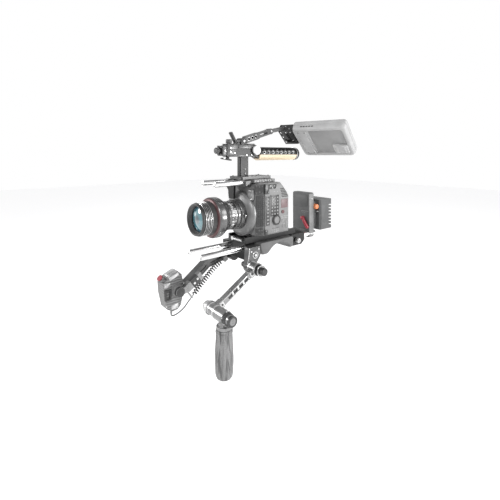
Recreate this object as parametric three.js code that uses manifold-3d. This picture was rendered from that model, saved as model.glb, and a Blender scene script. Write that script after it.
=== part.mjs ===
// Shoulder-mounted cinema camera rig: camera, lens, base plate on 15 mm rods, top handle,
// monitor on an arm, two hand grips and a battery plate, each piece a separate solid.
import * as THREE from 'three';
import { mergeVertices } from 'three/addons/utils/BufferGeometryUtils.js';
import Module from 'manifold-3d';

const wasm = await Module();
wasm.setup();

// Driving dimensions in millimetres. +X is the operator's left, +Y the back, +Z up.
// The origin is on the tripod face, under the front rod clamp.
const GAP = 0.3; // left between two pieces that touch
const PLAY = 0.3; // radial room round a rod or a pin
const ROD_R = 7.5; // 15 mm rods
const ROD_X = 30; // on 60 mm centres
const LOW_ROD_Z = 32;
const AXIS_Z = 123; // optical axis
const TOP_ROD_Z = AXIS_Z + 91;
const BODY_HALF = 76; // camera body, half its width
const BODY_FRONT = 6;
const BODY_BACK = 122;
const BODY_BOTTOM = 69;
const BODY_TOP = 213.5;
const BORE_R = 34; // lens barrel that the rings turn on
const PLATE_TOP = 230; // top plate
const HANDLE_Z = 295;
const HANDLE_R = 20;
const ARM_PIVOT = { y: 3, z: 331 };
const ARM_ELBOW = { y: 113, z: 363.5 };
const MONITOR = { width: 170, height: 136, depth: 32 };
const LEFT_SHOULDER = { y: -13, z: -11 };
const LEFT_ELBOW = { y: -142, z: -84 };
const GRIP_X = 122;
const RIGHT_SHOULDER = { y: 12, z: -8 };
const RIGHT_BEND = { y: -67, z: -24 };
const RIGHT_END = { y: -134, z: -72 };
const RIGHT_WRIST = { y: -163, z: -78 };

const finish = (color, roughness, metalness) => () =>
  new THREE.MeshStandardMaterial({ color, roughness, metalness });
const blackAnodised = finish(0x17181a, 0.45, 0.7);
const greyAnodised = finish(0x4a4c4f, 0.45, 0.6);
const greyPaint = finish(0x6a6c6e, 0.6, 0.1);
const palePaint = finish(0x8d9092, 0.6, 0.1);
const polishedSteel = finish(0xd9dbde, 0.18, 1.0);
const satinAluminium = finish(0xbfc2c5, 0.35, 1.0);
const blackRubber = finish(0x232425, 0.8, 0.0);
const greyLeather = finish(0x808284, 0.75, 0.0);
const paleWood = finish(0xcfae85, 0.55, 0.0);
const coatedGlass = finish(0x33525c, 0.05, 0.0);
const redPlastic = finish(0xa2343f, 0.45, 0.0);

const rig = new THREE.Group();

function solidOf(geometry) {
  const bare = geometry.clone();
  bare.deleteAttribute('normal');
  bare.deleteAttribute('uv');
  const merged = mergeVertices(bare, 1e-4);
  return new wasm.Manifold(new wasm.Mesh({
    numProp: 3,
    vertProperties: new Float32Array(merged.attributes.position.array),
    triVerts: new Uint32Array(merged.index.array),
  }));
}

function geometryOf(solid) {
  const mesh = solid.getMesh();
  const geometry = new THREE.BufferGeometry();
  geometry.setAttribute('position', new THREE.BufferAttribute(mesh.vertProperties, 3));
  geometry.setIndex(new THREE.BufferAttribute(mesh.triVerts, 1));
  geometry.computeVertexNormals();
  return geometry;
}

const join = (...pieces) => geometryOf(pieces.map(solidOf).reduce((whole, next) => whole.add(next)));
const cut = (piece, ...tools) =>
  geometryOf(tools.map(solidOf).reduce((whole, tool) => whole.subtract(tool), solidOf(piece)));
const common = (one, other) => geometryOf(solidOf(one).intersect(solidOf(other)));

function piece(name, geometry, material, group = rig) {
  const mesh = new THREE.Mesh(geometry, material());
  mesh.name = name;
  group.add(mesh);
  return mesh;
}

// A block between two corners.
function block(x0, x1, y0, y1, z0, z1) {
  const box = new THREE.BoxGeometry(x1 - x0, y1 - y0, z1 - z0);
  return box.translate((x0 + x1) / 2, (y0 + y1) / 2, (z0 + z1) / 2);
}

// Round bars along each axis, from one end to the other.
const barX = (r, x0, x1, y, z, sides = 24) =>
  new THREE.CylinderGeometry(r, r, x1 - x0, sides).rotateZ(Math.PI / 2).translate((x0 + x1) / 2, y, z);
const barY = (r, y0, y1, x, z, sides = 24) =>
  new THREE.CylinderGeometry(r, r, y1 - y0, sides).translate(x, (y0 + y1) / 2, z);
const barZ = (r, z0, z1, x, y, sides = 24) =>
  new THREE.CylinderGeometry(r, r, z1 - z0, sides).rotateX(Math.PI / 2).translate(x, y, (z0 + z1) / 2);

// A turned piece on the Y axis from [radius, y] points.
const turned = (profile, sides = 36) =>
  new THREE.LatheGeometry(profile.map(([r, y]) => new THREE.Vector2(r, y)), sides);

function extruded(outline, depth) {
  const shape = new THREE.Shape(outline.map(([a, b]) => new THREE.Vector2(a, b)));
  return new THREE.ExtrudeGeometry(shape, { depth, bevelEnabled: false });
}

// Outlines drawn on (Y, Z), (X, Z) and (X, Y), pushed along the third axis.
const Y_IS_FIRST = new THREE.Matrix4().makeBasis(
  new THREE.Vector3(0, 1, 0),
  new THREE.Vector3(0, 0, 1),
  new THREE.Vector3(1, 0, 0),
);
const sideways = (outline, x0, x1) => extruded(outline, x1 - x0)
  .applyMatrix4(Y_IS_FIRST).translate(x0, 0, 0);
const lengthways = (outline, y0, y1) => extruded(outline, y1 - y0)
  .rotateX(Math.PI / 2).translate(0, y1, 0);
const upwards = (outline, z0, z1) => extruded(outline, z1 - z0).translate(0, 0, z0);

// A rectangle with its corners cut off.
const chamfered = (a0, a1, b0, b1, c) => [
  [a0 + c, b0], [a1 - c, b0], [a1, b0 + c], [a1, b1 - c],
  [a1 - c, b1], [a0 + c, b1], [a0, b1 - c], [a0, b0 + c],
];

// A bar of the given width between two points of the (Y, Z) plane.
function strut(from, to, width, x0, x1) {
  const length = Math.hypot(to.y - from.y, to.z - from.z);
  const bar = block(x0, x1, 0, length, -width / 2, width / 2);
  return bar.rotateX(Math.atan2(to.z - from.z, to.y - from.y)).translate(0, from.y, from.z);
}

// A point part of the way from one point to another.
const between = (from, to, share) => ({
  y: from.y + (to.y - from.y) * share,
  z: from.z + (to.z - from.z) * share,
});

// --- Rods: steel tubes with a threaded mouth at each end -----------------------------------
const ROD_MOUTH_R = 5;
const ROD_MOUTH_DEPTH = 10;

function rod(name, y0, y1, x, z) {
  const edge = 0.8;
  const profile = [
    [0, y0 + ROD_MOUTH_DEPTH], [ROD_MOUTH_R, y0 + ROD_MOUTH_DEPTH], [ROD_MOUTH_R, y0],
    [ROD_R - edge, y0], [ROD_R, y0 + edge], [ROD_R, y1 - edge], [ROD_R - edge, y1],
    [ROD_MOUTH_R, y1], [ROD_MOUTH_R, y1 - ROD_MOUTH_DEPTH], [0, y1 - ROD_MOUTH_DEPTH],
  ];
  piece(name, turned(profile, 16).translate(x, 0, z), polishedSteel);
}

const rodBores = (y0, y1, z) =>
  [-ROD_X, ROD_X].map((x) => barY(ROD_R + PLAY, y0 - 1, y1 + 1, x, z, 16));

// --- Base: sliding base plate between two rod clamps, shoulder pad under it ----------------
const CLAMP_HALF = 41;
const REAR_HALF = 47;
const CLAMP_TOP = 44.7;
const FRONT_CLAMP = { y0: -13, y1: 20 };
const REAR_CLAMP = { y0: 163, y1: 222 };
const RAIL_TOP = 62;
const FLOOR_Z = 57; // floor of the dovetail channel

piece('front_rod_clamp', cut(
  lengthways(chamfered(-CLAMP_HALF, CLAMP_HALF, 0, CLAMP_TOP, 6), FRONT_CLAMP.y0, FRONT_CLAMP.y1),
  ...rodBores(FRONT_CLAMP.y0, FRONT_CLAMP.y1, LOW_ROD_Z),
), blackAnodised);

piece('rear_rod_clamp', cut(
  sideways([
    [REAR_CLAMP.y0, CLAMP_TOP], [REAR_CLAMP.y0, 17], [168, 10], [208, 10], [REAR_CLAMP.y1, 22],
    [REAR_CLAMP.y1, CLAMP_TOP],
  ], -REAR_HALF, REAR_HALF),
  ...rodBores(REAR_CLAMP.y0, REAR_CLAMP.y1, LOW_ROD_Z),
), blackAnodised);

piece('base_plate', lengthways([
  [-40, CLAMP_TOP + GAP], [40, CLAMP_TOP + GAP], [40, RAIL_TOP], [31, RAIL_TOP], [35, FLOOR_Z],
  [-35, FLOOR_Z], [-31, RAIL_TOP], [-40, RAIL_TOP],
], FRONT_CLAMP.y0, 188), blackAnodised);

rod('rod_lower_left', -150, 19.7, ROD_X, LOW_ROD_Z);
rod('rod_lower_right', -150, 19.7, -ROD_X, LOW_ROD_Z);
rod('rod_rear_left', 163.3, 290, ROD_X, LOW_ROD_Z);
rod('rod_rear_right', 163.3, 290, -ROD_X, LOW_ROD_Z);

// The pad arches over the shoulder between a deep front lobe and the rear edge.
const PAD_HALF = 60;
piece('shoulder_pad', sideways([
  [24, 42], [25, 28], [31, 14], [40, 8], [52, 9], [62, 17], [74, 27], [90, 33], [108, 34],
  [128, 29], [144, 18], [150, 10], [158, 13], [160, 38], [157, CLAMP_TOP - GAP], [28, CLAMP_TOP - GAP],
], -PAD_HALF, PAD_HALF), blackRubber);

// Clamp screws: a round knob with a stem that ends just short of the clamp's side.
const knobX = (r, x0, x1, y, z, edge) => turned([
  [0, x0], [r * 0.6, x0], [r * 0.6, x0 + 2], [r, x0 + 2 + edge], [r, x1 - edge], [r - edge, x1], [0, x1],
], 20).rotateZ(-Math.PI / 2).translate(0, y, z);

piece('rear_clamp_knob', knobX(8, REAR_HALF + GAP, 62, 183, 27, 1), satinAluminium);

// Cam lever across the front edge of the base plate that locks the camera plate.
piece('plate_lock_lever', join(
  barY(5.5, -19, FRONT_CLAMP.y0 - GAP, -14, 53, 16),
  block(-14, 28, -18.5, -14.5, 50, 55),
), satinAluminium);

// --- Camera plate and body -----------------------------------------------------------------
piece('camera_plate', lengthways([
  [-34.4, FLOOR_Z + GAP], [34.4, FLOOR_Z + GAP], [30.5, RAIL_TOP + GAP], [38, RAIL_TOP + GAP],
  [38, BODY_BOTTOM - GAP], [-38, BODY_BOTTOM - GAP], [-38, RAIL_TOP + GAP], [-30.5, RAIL_TOP + GAP],
], 12, 118), blackAnodised);

const PANEL_X = 73; // seat of the control panel
const PANEL_TOP = BODY_HALF;
const KEY = { y: 96, z: 128, r: 5 };

const bodySide = [
  [BODY_FRONT, BODY_BOTTOM], [BODY_BACK, BODY_BOTTOM], [BODY_BACK, 172], [114, 186], [88, BODY_TOP],
  [16, BODY_TOP], [BODY_FRONT, 204],
];
const bodyPlan = [
  [-BODY_HALF, 26], [-62, BODY_FRONT], [58, BODY_FRONT], [PANEL_X, 26], [PANEL_X, BODY_BACK],
  [-66, BODY_BACK], [-BODY_HALF, 112],
];
piece('camera_body', common(
  sideways(bodySide, -BODY_HALF, PANEL_X),
  upwards(bodyPlan, BODY_BOTTOM - 1, BODY_TOP + 1),
), greyPaint);

piece('control_panel', cut(
  sideways([
    [28, 73], [119, 73], [119, 170], [111, 183], [86, 209], [28, 209],
  ], PANEL_X + GAP, PANEL_TOP),
  barX(KEY.r + PLAY, PANEL_X, PANEL_TOP + 1, KEY.y, KEY.z, 16),
), palePaint);

piece('record_key', barX(KEY.r, PANEL_X + 1.2, PANEL_TOP + 2.2, KEY.y, KEY.z, 16), redPlastic);

piece('menu_dial', turned([
  [0, 0], [13, 0], [13.5, 0.6], [13.5, 4], [12.5, 5], [9, 5], [8, 4], [0, 4],
], 32).rotateZ(-Math.PI / 2).translate(PANEL_TOP + GAP, 69, 108), blackRubber);

// Round front housing that carries the lens mount.
const HOUSING_R = 64;
piece('front_housing', turned([
  [40, BODY_FRONT - GAP], [40, -10], [48, -10], [60, -5], [HOUSING_R, 0], [HOUSING_R, BODY_FRONT - GAP],
  [40, BODY_FRONT - GAP],
], 48).translate(0, 0, AXIS_Z), greyAnodised);

// --- Lens on the optical axis --------------------------------------------------------------
const lens = new THREE.Group();
lens.position.set(0, 0, AXIS_Z);
rig.add(lens);
const RING_BORE = BORE_R + PLAY;

piece('mount_lock_ring', join(
  turned([[37, -10.3], [37, -24], [39, -24], [41, -21], [41, -10.3], [37, -10.3]]),
  block(40, 47, -20, -13, -5, 5),
  block(-47, -40, -20, -13, -5, 5),
), satinAluminium, lens);
piece('lens_barrel', turned([
  [27, -112], [BORE_R, -112], [BORE_R, -26], [36.6, -26], [36.6, 5], [27, 5], [27, -112],
]), blackAnodised, lens);
piece('iris_ring', turned([
  [RING_BORE, -26.3], [RING_BORE, -38], [40, -38], [41, -36], [41, -28], [40, -26.3], [RING_BORE, -26.3],
]), blackAnodised, lens);
piece('distance_ring', turned([
  [RING_BORE, -38.3], [RING_BORE, -61], [39, -61], [39.5, -59], [39.5, -38.3], [RING_BORE, -38.3],
]), greyAnodised, lens);
piece('focus_ring', turned([
  [RING_BORE, -61.3], [RING_BORE, -108], [46, -108], [52, -106], [54.5, -102], [54.5, -84],
  [51, -77], [43, -66], [40, -61.3], [RING_BORE, -61.3],
]), greyAnodised, lens);

// Front barrel with three raised ribs.
const FRONT_R = 44.5;
const ribs = [];
for (const rib of [-136, -129, -122]) {
  ribs.push([FRONT_R - 2, rib - 3], [FRONT_R, rib - 2], [FRONT_R, rib + 2], [FRONT_R - 2, rib + 3]);
}
piece('front_barrel', turned([
  [RING_BORE, -108.3], [RING_BORE, -112.3], [31, -112.3], [31, -125.7], [36.2, -125.7],
  [36.2, -137], [39.4, -150], [41, -150],
  [42.5, -147], ...ribs, [43.5, -113], [48, -108.3], [RING_BORE, -108.3],
], 28), blackAnodised, lens);
piece('front_glass', turned([
  [0, -143.5], [14, -142.4], [26, -139.6], [35.8, -135.5], [35.8, -126], [0, -126],
]), coatedGlass, lens);

// --- Top plate, cage, upper rods -----------------------------------------------------------
piece('rod_bridge', cut(
  lengthways(chamfered(-44, 44, 203, 222, 3), -14, BODY_FRONT - GAP),
  ...rodBores(-14, BODY_FRONT, TOP_ROD_Z),
), blackAnodised);
rod('rod_upper_left', -109, 5.4, ROD_X, TOP_ROD_Z);
rod('rod_upper_right', -109, 5.4, -ROD_X, TOP_ROD_Z);

// Clamp block that hangs from the right upper rod.
piece('rod_accessory_clamp', cut(
  lengthways([
    [-42, 222], [-42, 203], [-31, 190], [-28, 166], [-5, 166], [-3, 200], [-3, 222],
  ], -21, -14.3),
  barY(ROD_R + PLAY, -23, -14, -ROD_X, TOP_ROD_Z, 16),
), blackAnodised);

const cageHoles = [];
for (const x of [-42, 42]) {
  for (let hole = 0; hole < 4; hole += 1) {
    cageHoles.push(barZ(3.2, 212, 224, x, 20 + hole * 20, 10));
  }
}
piece('cage_plate', cut(
  upwards(chamfered(-50, 50, BODY_FRONT, 93, 4), BODY_TOP + GAP, 222),
  ...cageHoles,
), blackAnodised);

const plateHoles = [];
for (const x of [-20, 0, 20]) {
  for (const y of [46, 62, 78]) {
    plateHoles.push(barZ(3.2, 220, 232, x, y, 10));
  }
}
piece('top_plate', cut(
  upwards(chamfered(-30, 30, -18, 95, 4), 222.3, PLATE_TOP),
  ...plateHoles,
), greyAnodised);

// --- Handle --------------------------------------------------------------------------------
const BLOCK_BOTTOM = 286;
const BLOCK_TOP = 321;
piece('handle_riser', upwards(
  chamfered(-8, 8, -6, 25, 2),
  PLATE_TOP + GAP,
  BLOCK_BOTTOM - GAP,
), greyAnodised);
const PIVOT_R = 9;
const PIN_R = 3;
piece('handle_block', cut(
  join(
    sideways([
      [-57, 289], [-50, BLOCK_BOTTOM], [50, BLOCK_BOTTOM], [60, 280], [60, 312], [48, BLOCK_TOP],
      [-50, BLOCK_TOP], [-57, 318],
    ], -13, 13),
    sideways(chamfered(-72, -56, 289, 316, 3), -12, 12),
  ),
  block(-2, 2, -74, -61, 286, 320),
), greyAnodised);
piece('arm_base', cut(
  join(
    block(-13, 13, -6, 14, BLOCK_TOP + GAP, 326),
    barX(PIVOT_R, -13, 13, ARM_PIVOT.y, ARM_PIVOT.z),
    block(-13, 13, ARM_PIVOT.y - PIVOT_R, ARM_PIVOT.y + PIVOT_R, 325, ARM_PIVOT.z),
  ),
  barX(PIVOT_R + 1, -9.3, 9.3, ARM_PIVOT.y, ARM_PIVOT.z),
  block(-9.3, 9.3, ARM_PIVOT.y, 30, BLOCK_TOP, 350),
  barX(PIN_R + PLAY, -15, 15, ARM_PIVOT.y, ARM_PIVOT.z, 12),
), blackAnodised);

const HANDLE_START = 60.3;
const HANDLE_END = 217;
const HANDLE_SPLIT = 292;
const handleRound = () => barY(HANDLE_R, HANDLE_START, HANDLE_END, 0, HANDLE_Z, 28);
const gripHoles = [];
for (let hole = 0; hole < 8; hole += 1) {
  gripHoles.push(barX(5.2, -30, 30, 77 + hole * 17.5, 298, 8));
}
piece('handle_core', cut(
  join(
    common(handleRound(), block(-30, 30, HANDLE_START - 1, HANDLE_END + 1, HANDLE_SPLIT + GAP, 330)),
    turned([
      [0, HANDLE_END - 1], [HANDLE_R - 2, HANDLE_END - 1], [HANDLE_R - 2, HANDLE_END + GAP],
      [HANDLE_R, HANDLE_END + GAP], [HANDLE_R, 228], [17, 232], [0, 232],
    ], 28).translate(0, 0, HANDLE_Z),
  ),
  block(-30, 30, HANDLE_START - 1, HANDLE_END + GAP, 260, HANDLE_SPLIT + GAP),
  ...gripHoles,
), blackAnodised);
piece('handle_wood', common(
  handleRound(),
  block(-30, 30, HANDLE_START - 1, HANDLE_END + 1, 260, HANDLE_SPLIT),
), paleWood);

const knobProfile = (r, length) => [
  [0, 0], [r * 0.6, 0], [r * 0.6, 2], [r, 3], [r, length - 1.5], [r - 1.5, length], [0, length],
];
piece('front_clamp_knob', turned(knobProfile(8.5, 14), 20)
  .rotateZ(Math.PI).translate(0, -72.3, 303), greyAnodised);
piece('top_lock_knob', turned(knobProfile(9, 14), 20)
  .rotateX(Math.PI / 2).translate(0, -40, BLOCK_TOP + GAP), greyAnodised);
piece('quick_release_lever', join(
  barZ(6, BLOCK_TOP + GAP, 329, 0, -18, 16),
  strut({ y: -18, z: 327 }, { y: -35, z: 355 }, 5, -6, 6),
), blackAnodised);
piece('arm_lock_knob', turned(knobProfile(13.5, 11), 24)
  .rotateZ(-Math.PI / 2).translate(13.3, 46, 305), satinAluminium);

// --- Monitor arm and monitor ---------------------------------------------------------------
const EYE_HALF = 4.7;
const FORK_HALF = 9;

const alongArm = (share) => between(ARM_PIVOT, ARM_ELBOW, share);
const armHoles = [];
for (const share of [0.2, 0.32, 0.44]) {
  const spot = alongArm(share);
  armHoles.push(barX(4, -10, 10, spot.y, spot.z, 10));
}
const elbowClear = (half) => join(
  barX(PIVOT_R + 3, -half, half, ARM_ELBOW.y, ARM_ELBOW.z),
  block(-half, half, ARM_ELBOW.y, ARM_ELBOW.y + 30, ARM_ELBOW.z - 15, ARM_ELBOW.z + 15),
);
piece('monitor_arm', cut(
  join(
    barX(PIVOT_R, -FORK_HALF, FORK_HALF, ARM_PIVOT.y, ARM_PIVOT.z),
    barX(PIN_R, -13.8, 13.8, ARM_PIVOT.y, ARM_PIVOT.z, 12),
    strut(ARM_PIVOT, alongArm(0.12), 14, -FORK_HALF, FORK_HALF),
    strut(alongArm(0.12), alongArm(0.55), 20, -FORK_HALF, FORK_HALF),
    strut(alongArm(0.5), ARM_ELBOW, 16, -FORK_HALF, FORK_HALF),
    barX(PIVOT_R, -FORK_HALF, FORK_HALF, ARM_ELBOW.y, ARM_ELBOW.z),
  ),
  ...armHoles,
  strut(alongArm(0.6), alongArm(0.86), 5, -10, 10),
  elbowClear(EYE_HALF + GAP),
  barX(PIN_R + PLAY, -10, 10, ARM_ELBOW.y, ARM_ELBOW.z, 12),
), blackAnodised);

// The monitor's own frame: x along its long edge, y up its back, z out of its back.
const longEdge = new THREE.Vector3(0.96, 0.28, 0).normalize();
const upBack = new THREE.Vector3(0.23, -0.76, 0.61);
upBack.addScaledVector(longEdge, -upBack.dot(longEdge)).normalize();
const outOfBack = new THREE.Vector3().crossVectors(longEdge, upBack);
const MONITOR_AT = new THREE.Vector3(25, 217.6, 328.8); // middle of the inner edge
const toMonitor = new THREE.Matrix4().makeBasis(longEdge, upBack, outOfBack).setPosition(MONITOR_AT);
const monitor = new THREE.Group();
monitor.quaternion.setFromRotationMatrix(toMonitor);
monitor.position.copy(MONITOR_AT);
rig.add(monitor);

const TILT = { y: 30, z: -17 }; // tilt pin, in the monitor's frame
const BRACKET = { x0: -50, x1: -2.5, y0: -8, y1: 58, z0: -30, z1: -4 };

// The link ends in a flat tongue that is screwed to the bracket, so the two are one body.
const wristLocal = new THREE.Vector3(BRACKET.x0 + 16, BRACKET.y1 + GAP, -15);
const wrist = wristLocal.clone().applyMatrix4(toMonitor);
function linkBar() {
  const start = new THREE.Vector3(0, ARM_ELBOW.y, ARM_ELBOW.z);
  const path = new THREE.LineCurve3(start, wrist);
  const section = new THREE.Shape(
    chamfered(-4.2, 4.2, -6, 6, 1).map(([a, b]) => new THREE.Vector2(a, b)),
  );
  return new THREE.ExtrudeGeometry(section, { steps: 1, extrudePath: path, bevelEnabled: false });
}
const bracketBox = (x0, x1, y0, y1, z0, z1) => block(x0, x1, y0, y1, z0, z1).applyMatrix4(toMonitor);
piece('monitor_link', cut(
  join(
    barX(PIVOT_R, -EYE_HALF, EYE_HALF, ARM_ELBOW.y, ARM_ELBOW.z),
    barX(PIN_R, -8.8, 8.8, ARM_ELBOW.y, ARM_ELBOW.z, 12),
    linkBar(),
  ),
  bracketBox(-90, 40, -60, BRACKET.y1 + GAP, -60, 60),
), satinAluminium);

piece('monitor_bracket', cut(
  block(BRACKET.x0, BRACKET.x1, BRACKET.y0, BRACKET.y1, BRACKET.z0, BRACKET.z1),
  block(BRACKET.x0 + 8, BRACKET.x1 - 8, BRACKET.y0 + 8, BRACKET.y0 + 26, -40, 10),
  barX(4 + PLAY, BRACKET.x1 - 12, BRACKET.x1 + 1, TILT.y, TILT.z, 16),
), blackAnodised, monitor);

const RIM = 4; // the back face is smaller all round than the screen side
const monitorShell = () => {
  const { width, height, depth } = MONITOR;
  const half = height / 2;
  const lower = extruded(chamfered(0, width, -half, half, 6), depth * 0.55).translate(0, 0, -depth);
  const upper = extruded(chamfered(RIM, width - RIM, -half + RIM, half - RIM, 6), depth * 0.45)
    .translate(0, 0, -depth * 0.45);
  const hump = block(width - 50, width - 8, -48, -14, -2, 4);
  const swell = block(8, 58, -half + 8, half - 20, -2, 2.5);
  return join(lower, upper, hump, swell);
};
piece('monitor_shell', cut(
  join(monitorShell(), barX(4, -12, 2, TILT.y, TILT.z, 16)),
  block(6, MONITOR.width - 6, -MONITOR.height / 2 + 6, MONITOR.height / 2 - 6, -MONITOR.depth - 1, -22),
), palePaint, monitor);
piece('monitor_screen', block(
  6 + GAP, MONITOR.width - 6 - GAP, -MONITOR.height / 2 + 6 + GAP, MONITOR.height / 2 - 6 - GAP,
  -MONITOR.depth, -22 - GAP,
), coatedGlass, monitor);

// --- Left arm and grip ---------------------------------------------------------------------
const EYE_R = 16;
const LOCK_R = 5; // locking pins inside the two joints

const BRACKET_X = { inner: 50, outer: 66 };
const BEAM_X = { inner: 73, outer: 88 };
const BEAM_WAIST = 15; // the beam is deeper again at both ends
piece('left_bracket', cut(
  join(
    sideways([
      [-20, 40], [-28, -4], [LEFT_SHOULDER.y, -24], [3, -8], [19, 14], [18, 40],
    ], BRACKET_X.inner, BRACKET_X.outer),
    block(CLAMP_HALF + GAP, BRACKET_X.inner + 1, -18, 14, 8, 40),
    barX(EYE_R, BRACKET_X.inner, BRACKET_X.outer, LEFT_SHOULDER.y, LEFT_SHOULDER.z),
  ),
  barX(LOCK_R + PLAY, 40, 70, LEFT_SHOULDER.y, LEFT_SHOULDER.z, 16),
), greyAnodised);

const ELBOW_R = 14.5;
const ELBOW_RIM_R = 16.5;
const NECK_X = 96; // inner face of the grip's knuckle
const alongBeam = (share) => between(LEFT_SHOULDER, LEFT_ELBOW, share);
const beamPockets = [];
for (const share of [0.28, 0.41, 0.54, 0.67]) {
  const from = alongBeam(share - 0.045);
  const to = alongBeam(share + 0.045);
  beamPockets.push(
    strut(from, to, 8, BEAM_X.outer - 4, BEAM_X.outer + 1),
    strut(from, to, 8, BEAM_X.inner - 1, BEAM_X.inner + 4),
  );
}
piece('left_arm', cut(
  join(
    barX(EYE_R, BRACKET_X.outer + GAP, 95, LEFT_SHOULDER.y, LEFT_SHOULDER.z),
    barX(12, 94, 108, LEFT_SHOULDER.y, LEFT_SHOULDER.z, 12),
    strut(LEFT_SHOULDER, LEFT_ELBOW, BEAM_WAIST, BEAM_X.inner, BEAM_X.outer),
    strut(LEFT_SHOULDER, alongBeam(0.17), 21, BEAM_X.inner, BEAM_X.outer),
    strut(alongBeam(0.83), LEFT_ELBOW, 20, BEAM_X.inner, BEAM_X.outer),
    barX(ELBOW_R, 66, NECK_X - GAP, LEFT_ELBOW.y, LEFT_ELBOW.z),
    barX(ELBOW_RIM_R, 59, 68, LEFT_ELBOW.y, LEFT_ELBOW.z, 28),
  ),
  ...beamPockets,
  barX(LOCK_R + PLAY, 50, 131, LEFT_ELBOW.y, LEFT_ELBOW.z, 16),
  barX(LOCK_R + PLAY, 60, 131, LEFT_SHOULDER.y, LEFT_SHOULDER.z, 16),
), greyAnodised);

// Push buttons that free the joints: a locking pin with a cap at one end, sprung outwards.
const BUTTON_TRAVEL = 3;
piece('shoulder_button', join(
  barX(10, 108 + BUTTON_TRAVEL, 121, LEFT_SHOULDER.y, LEFT_SHOULDER.z, 20),
  barX(LOCK_R, 36, 112, LEFT_SHOULDER.y, LEFT_SHOULDER.z, 16),
  new THREE.SphereGeometry(8, 16, 10).translate(34, LEFT_SHOULDER.y, LEFT_SHOULDER.z),
), satinAluminium);
piece('elbow_button', join(
  barX(12.5, 45, 59 - BUTTON_TRAVEL, LEFT_ELBOW.y, LEFT_ELBOW.z, 28),
  barX(LOCK_R, 54, 118, LEFT_ELBOW.y, LEFT_ELBOW.z, 16),
), palePaint);

const COLLAR_Z = -104;
const GRIP_TOP = -111;
const GRIP_BOTTOM = -225;
piece('left_grip_neck', cut(
  join(
    barX(EYE_R, NECK_X, 132, LEFT_ELBOW.y, LEFT_ELBOW.z),
    barX(12.5, 131, 156, LEFT_ELBOW.y, LEFT_ELBOW.z, 20),
    block(GRIP_X - 11, GRIP_X + 8, LEFT_ELBOW.y - 9, LEFT_ELBOW.y + 9, COLLAR_Z - 1, LEFT_ELBOW.z),
    barZ(18.5, GRIP_TOP + GAP, COLLAR_Z, GRIP_X, LEFT_ELBOW.y),
  ),
  barX(LOCK_R + PLAY, 90, 122, LEFT_ELBOW.y, LEFT_ELBOW.z, 16),
), greyAnodised);
piece('left_grip', turned([
  [0, 0], [13, 0], [18, 4], [20.5, 11], [21.8, 28], [22, 55], [21, 82], [19.5, 105],
  [19, GRIP_TOP - GRIP_BOTTOM], [0, GRIP_TOP - GRIP_BOTTOM],
], 28).rotateX(Math.PI / 2).translate(GRIP_X, LEFT_ELBOW.y, GRIP_BOTTOM), greyLeather);

// --- Right arm and grip --------------------------------------------------------------------
const ARM_X0 = -88;
const ARM_X1 = -66;
const COIL_X = -57;
const COIL_CLIP = { y: -21.3, z: -18.6 };
const CORD_CLIP = { y: -125.8, z: -101.8 };
const CORD_GLAND = { x: -77, y: -177.5, z: -138.5 };
piece('right_bracket', join(
  block(-64, -CLAMP_HALF - GAP, -16, 18, 8, 40),
  barX(EYE_R, -65.7, -CLAMP_HALF - GAP, RIGHT_SHOULDER.y, RIGHT_SHOULDER.z),
  block(-64, -CLAMP_HALF - GAP, RIGHT_SHOULDER.y - EYE_R, RIGHT_SHOULDER.y + 6, RIGHT_SHOULDER.z, 20),
), blackAnodised);

const alongUpper = (share) => between(RIGHT_SHOULDER, RIGHT_BEND, share);
const alongLower = (share) => between(RIGHT_BEND, RIGHT_END, share);
piece('right_arm', cut(
  join(
    barX(15, ARM_X0, ARM_X1, RIGHT_SHOULDER.y, RIGHT_SHOULDER.z),
    strut(RIGHT_SHOULDER, RIGHT_BEND, 24, ARM_X0, ARM_X1),
    barX(12, ARM_X0, ARM_X1, RIGHT_BEND.y, RIGHT_BEND.z, 16),
    strut(RIGHT_BEND, RIGHT_END, 24, ARM_X0, ARM_X1),
    strut({ y: -10, z: -13 }, COIL_CLIP, 14, ARM_X1 - 2, COIL_X + 8),
  ),
  strut(alongUpper(0.3), alongUpper(0.9), 5, ARM_X1 - 3, ARM_X1 + 1),
  strut(alongLower(0.08), alongLower(0.95), 5, ARM_X1 - 3, ARM_X1 + 1),
), greyAnodised);

const SLIDER_X0 = -65.7;
const SLIDER_X1 = -50;
piece('right_slider', join(
  strut(alongLower(0.45), between(RIGHT_END, RIGHT_WRIST, 0.3), 22, SLIDER_X0, SLIDER_X1),
  strut(RIGHT_END, RIGHT_WRIST, 18, -60, SLIDER_X1),
  barX(13, -60, SLIDER_X1, RIGHT_WRIST.y, RIGHT_WRIST.z),
  strut({ y: -144, z: -78 }, CORD_CLIP, 4, COIL_X - 3, COIL_X + 3),
  new THREE.SphereGeometry(3.5, 12, 8).translate(COIL_X, CORD_CLIP.y, CORD_CLIP.z),
), greyAnodised);

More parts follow.
